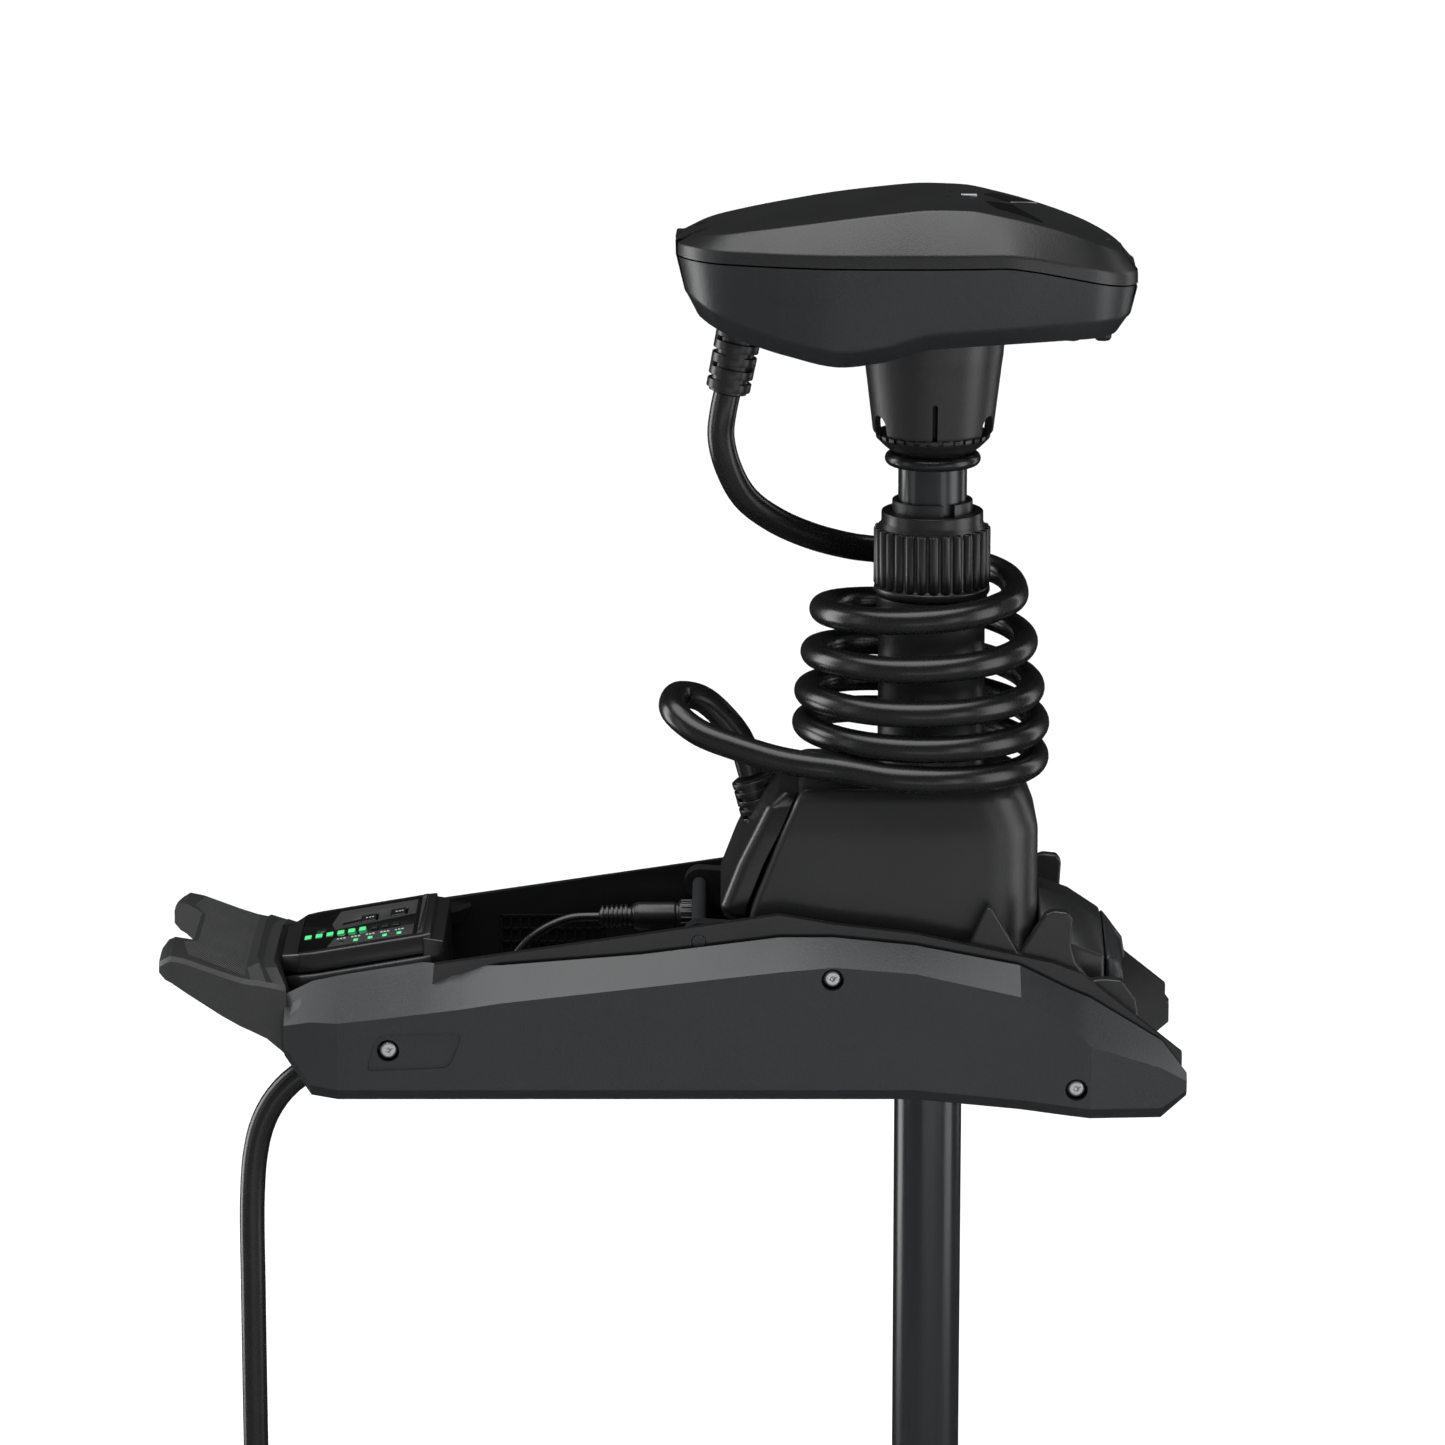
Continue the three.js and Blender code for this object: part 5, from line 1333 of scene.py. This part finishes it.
def pedalTread():
    outline = mirrored([(x, y - 0.4 if y > 60 else y) for x, y in pedal["tread"]])
    pad = addMesh("pad", *skin([[(x, y, treadHeight(x) + lift) for x, y in outline]
                                for lift in (-2.3, -0.5)]), treadRubber)
    ridges = onTread(row("ridges", treadRubber, 66, (-20, 0, -0.2), (1.33, 0, 0), (0.62, 190, 0.9),
                         (0, 0, -11.3)))
    limit = addMesh("limit", *skin([[(x, y, treadHeight(x) + lift) for x, y in outline]
                                    for lift in (-1.5, 3)]), treadRubber)
    ridges = combine(ridges, limit, operation="INTERSECT", angle=25)
    place(merged("pedal_tread", [pad, ridges]), "pedal", "cord_rubber", "pedal_pad")
    place(refined("latch_rod", steel, 0.5), "latch_rod", "bright_steel", "latch_rod")


pedalFrame()
pedalTread()
print("pedal ready")


# coupling in the trough

def coupling():
    low, high = corners("cable_connector")
    y, z = (low.y + high.y) / 2, (low.z + high.z) / 2
    profile = [(0, -28), (5.4, -28), (6.4, -8), (8.6, -6), (9.5, -3), (9.5, 20), (8.8, 21), (8.8, 22.4),
               (10.7, 23.5),
               (10.7, 33), (8.4, 34), (8.4, 40), (0, 40)]
    body = turned("body", profile, softBlack, (0, y, z), (1, 0, 0), 72, 0.5)
    rings = [turned("ring", [(4, x), (7.2 + 0.15 * k, x), (7.2 + 0.15 * k, x + 1.6), (4, x + 1.6)], softBlack,
                    (0, y, z), (1, 0, 0), 48, 0.4, True) for k, x in enumerate(range(-27, -9, 3))]
    flutes = grown("flutes", ringTree, {
        "Count": 18, "Radius": 10.2 * mm, "Width": 1.0 * mm, "Depth": 8 * mm, "Centre": (0, 0, 0),
        "Finish": softBlack})
    turn = Matrix.Translation(Vector((28.2, y, z)) * mm) @ Matrix.Rotation(math.pi / 2, 4, "Y")
    flutes.data.transform(turn)
    place(merged("cable_connector_shell", [body, *rings, flutes]), "mount", "cord_rubber", "cable_connector")
    path = through([(-28.5, y, z), (-48, y, z - 1.5), (-70, y - 2, z - 12), (-86, y - 6, z - 30),
                    (-96, y - 10, z - 48), (-108, y - 11, 18.5), (-120, y - 11, 16), (-131.1, y - 11, 16)], 2)
    place(tube("connector_cable_jacket", path, 3, rubber, 20), "mount", "cord_rubber", "connector_cable")


coupling()
print("coupling ready")


# lower unit

motor = {"z": -850, "radius": 57, "rear": 110, "front": 265, "nose": 62, "tail": 38}


def motorPod():
    z, radius = motor["z"], motor["radius"]
    centre, axis, stem = (0, 0, z), (1, 0, 0), (shaft["x"], 0, 0)
    can = turned("can", [(54, 110), (56, 110), (57, 111.5), (57, 122), (55.8, 123), (55.8, 125), (57, 126),
                         (57, 250), (55.8, 251), (55.8, 253), (57, 254), (57, 263.5), (56, 265), (54, 265)],
                 powderCoat, centre, axis, 112, 0.5, True)
    socket = turned("socket", [(0, z + 50), (41, z + 50), (39, z + 58), (33, z + 66), (30.5, z + 78),
                               (29, z + 96),
                               (28, z + 100), (0, z + 100)], powderCoat, stem, soft=[0, 0, 6, 6, 4, 2, 1, 0])
    inside = turned("core", [(0, 109), (54, 109), (54, 266), (0, 266)], powderCoat, centre, axis, 96)
    bore = turned("bore", [(0, z + 61), (21.8, z + 61), (21.8, z + 120), (0, z + 120)], powderCoat, stem)
    wires = turned("wires", [(0, z + 20), (12.5, z + 20), (12.5, z + 70), (0, z + 70)], powderCoat, stem)
    can = combine(can, socket, operation="UNION", angle=36)
    can = combine(can, inside, bore, wires, angle=36)
    can.name = "motor_case"
    place(can, "shaft", "painted_aluminium", "motor_housing")
    front = motor["front"] + 0.3
    nose = [(0, front)] + [(radius * math.cos(t), front + motor["nose"] * math.sin(t))
                           for t in [math.pi / 2 * k / 20 for k in range(20)]] + [(0, front + motor["nose"])]
    place(turned("motor_nose_shell", nose, blackPlastic, centre, axis, 112), "shaft", "black_plastic",
          "motor_nose_cone")
    rear = motor["rear"] - 0.3
    tail = [(6.3, rear), (56, rear), (57, rear - 1.2), (56, rear - 8), (52, rear - 20), (45, rear - 31),
            (39, rear - motor["tail"]), (6.3, rear - motor["tail"])]
    place(turned("motor_tail_shell", tail, powderCoat, centre, axis, 112, [0, 1, 1, 3, 6, 6, 1, 0], True),
          "shaft", "painted_aluminium", "motor_tail_cap")
    place(refined("skeg_fin", blackPlastic, 2.2, 3), "shaft", "black_plastic", "skeg_fin")


blade = {"root": 28, "reach": 105, "chord": 66, "middle": 44, "pitch": 62, "twist": 42, "sweep": 20,
         "thickness": 0.035}


def bladeSkin(turn):
    rows = []
    for i in range(25):
        share = i / 24
        reach = blade["root"] + blade["reach"] * share
        chord = blade["chord"] * math.sqrt(max(0.04, 1 - 0.94 * share ** 4)) * (0.72 + 0.5 * share)
        pitch = math.radians(blade["pitch"] - blade["twist"] * share)
        section = []
        for k in range(20):
            around = 2 * math.pi * k / 20
            thick = blade["thickness"] * math.sin(around) * (1.15 - math.cos(around) * 0.25)
            run = 0.5 * math.cos(around) * chord - blade["sweep"] * share ** 2
            off = thick * chord * (1 - 0.45 * share)
            x = blade["middle"] + math.sin(pitch) * run * 0.62 + math.cos(pitch) * off
            section.append(Vector((x, math.cos(pitch) * run - math.sin(pitch) * off, reach)))
        rows.append(section)
    piece = addMesh("blade", *skin(rows), blackPlastic, 50)
    spot = Matrix.Translation((0, 0, motor["z"] * mm)) @ Matrix.Rotation(turn, 4, "X")
    piece.data.transform(spot)
    return piece


def propeller():
    centre, axis = (0, 0, motor["z"]), (1, 0, 0)
    hub = turned("hub", [(6.3, 22), (26, 22), (29, 24), (34, 34), (36, 48), (36, 64), (35, 66), (6.3, 66)],
                 blackPlastic, centre, axis, 96, [0, 1, 2, 3, 3, 1, 1, 0], True)
    hub = combine(hub, bladeSkin(0), bladeSkin(math.pi), operation="UNION", angle=40)
    bore = turned("bore", [(0, 10), (6.35, 10), (6.35, 80), (0, 80)], blackPlastic, centre, axis, 48)
    hub = combine(hub, bore, angle=40)
    hub.name = "propeller_skin"
    place(hub, "propeller", "black_plastic", "propeller")
    place(refined("prop_nut", steel, 0.8, 2), "propeller", "bright_steel", "prop_nut")


motorPod()
propeller()
print("lower unit ready")


# the CAD nodes that stay

def insides():
    finishes = {"upper_bearing": bronze, "lower_bearing": bronze, "steering_gear": bronze,
                "steering_pinion": steel, "steering_motor": steel, "steering_sleeve": powderCoat,
                "steering_gear_plate": powderCoat, "head_circuit_board": board, "motor_stator": core,
                "motor_rotor": steel}
    for node, finish in finishes.items():
        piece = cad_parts[node]
        piece.data.materials.clear()
        piece.data.materials.append(finish)


insides()
print("inner pieces ready")
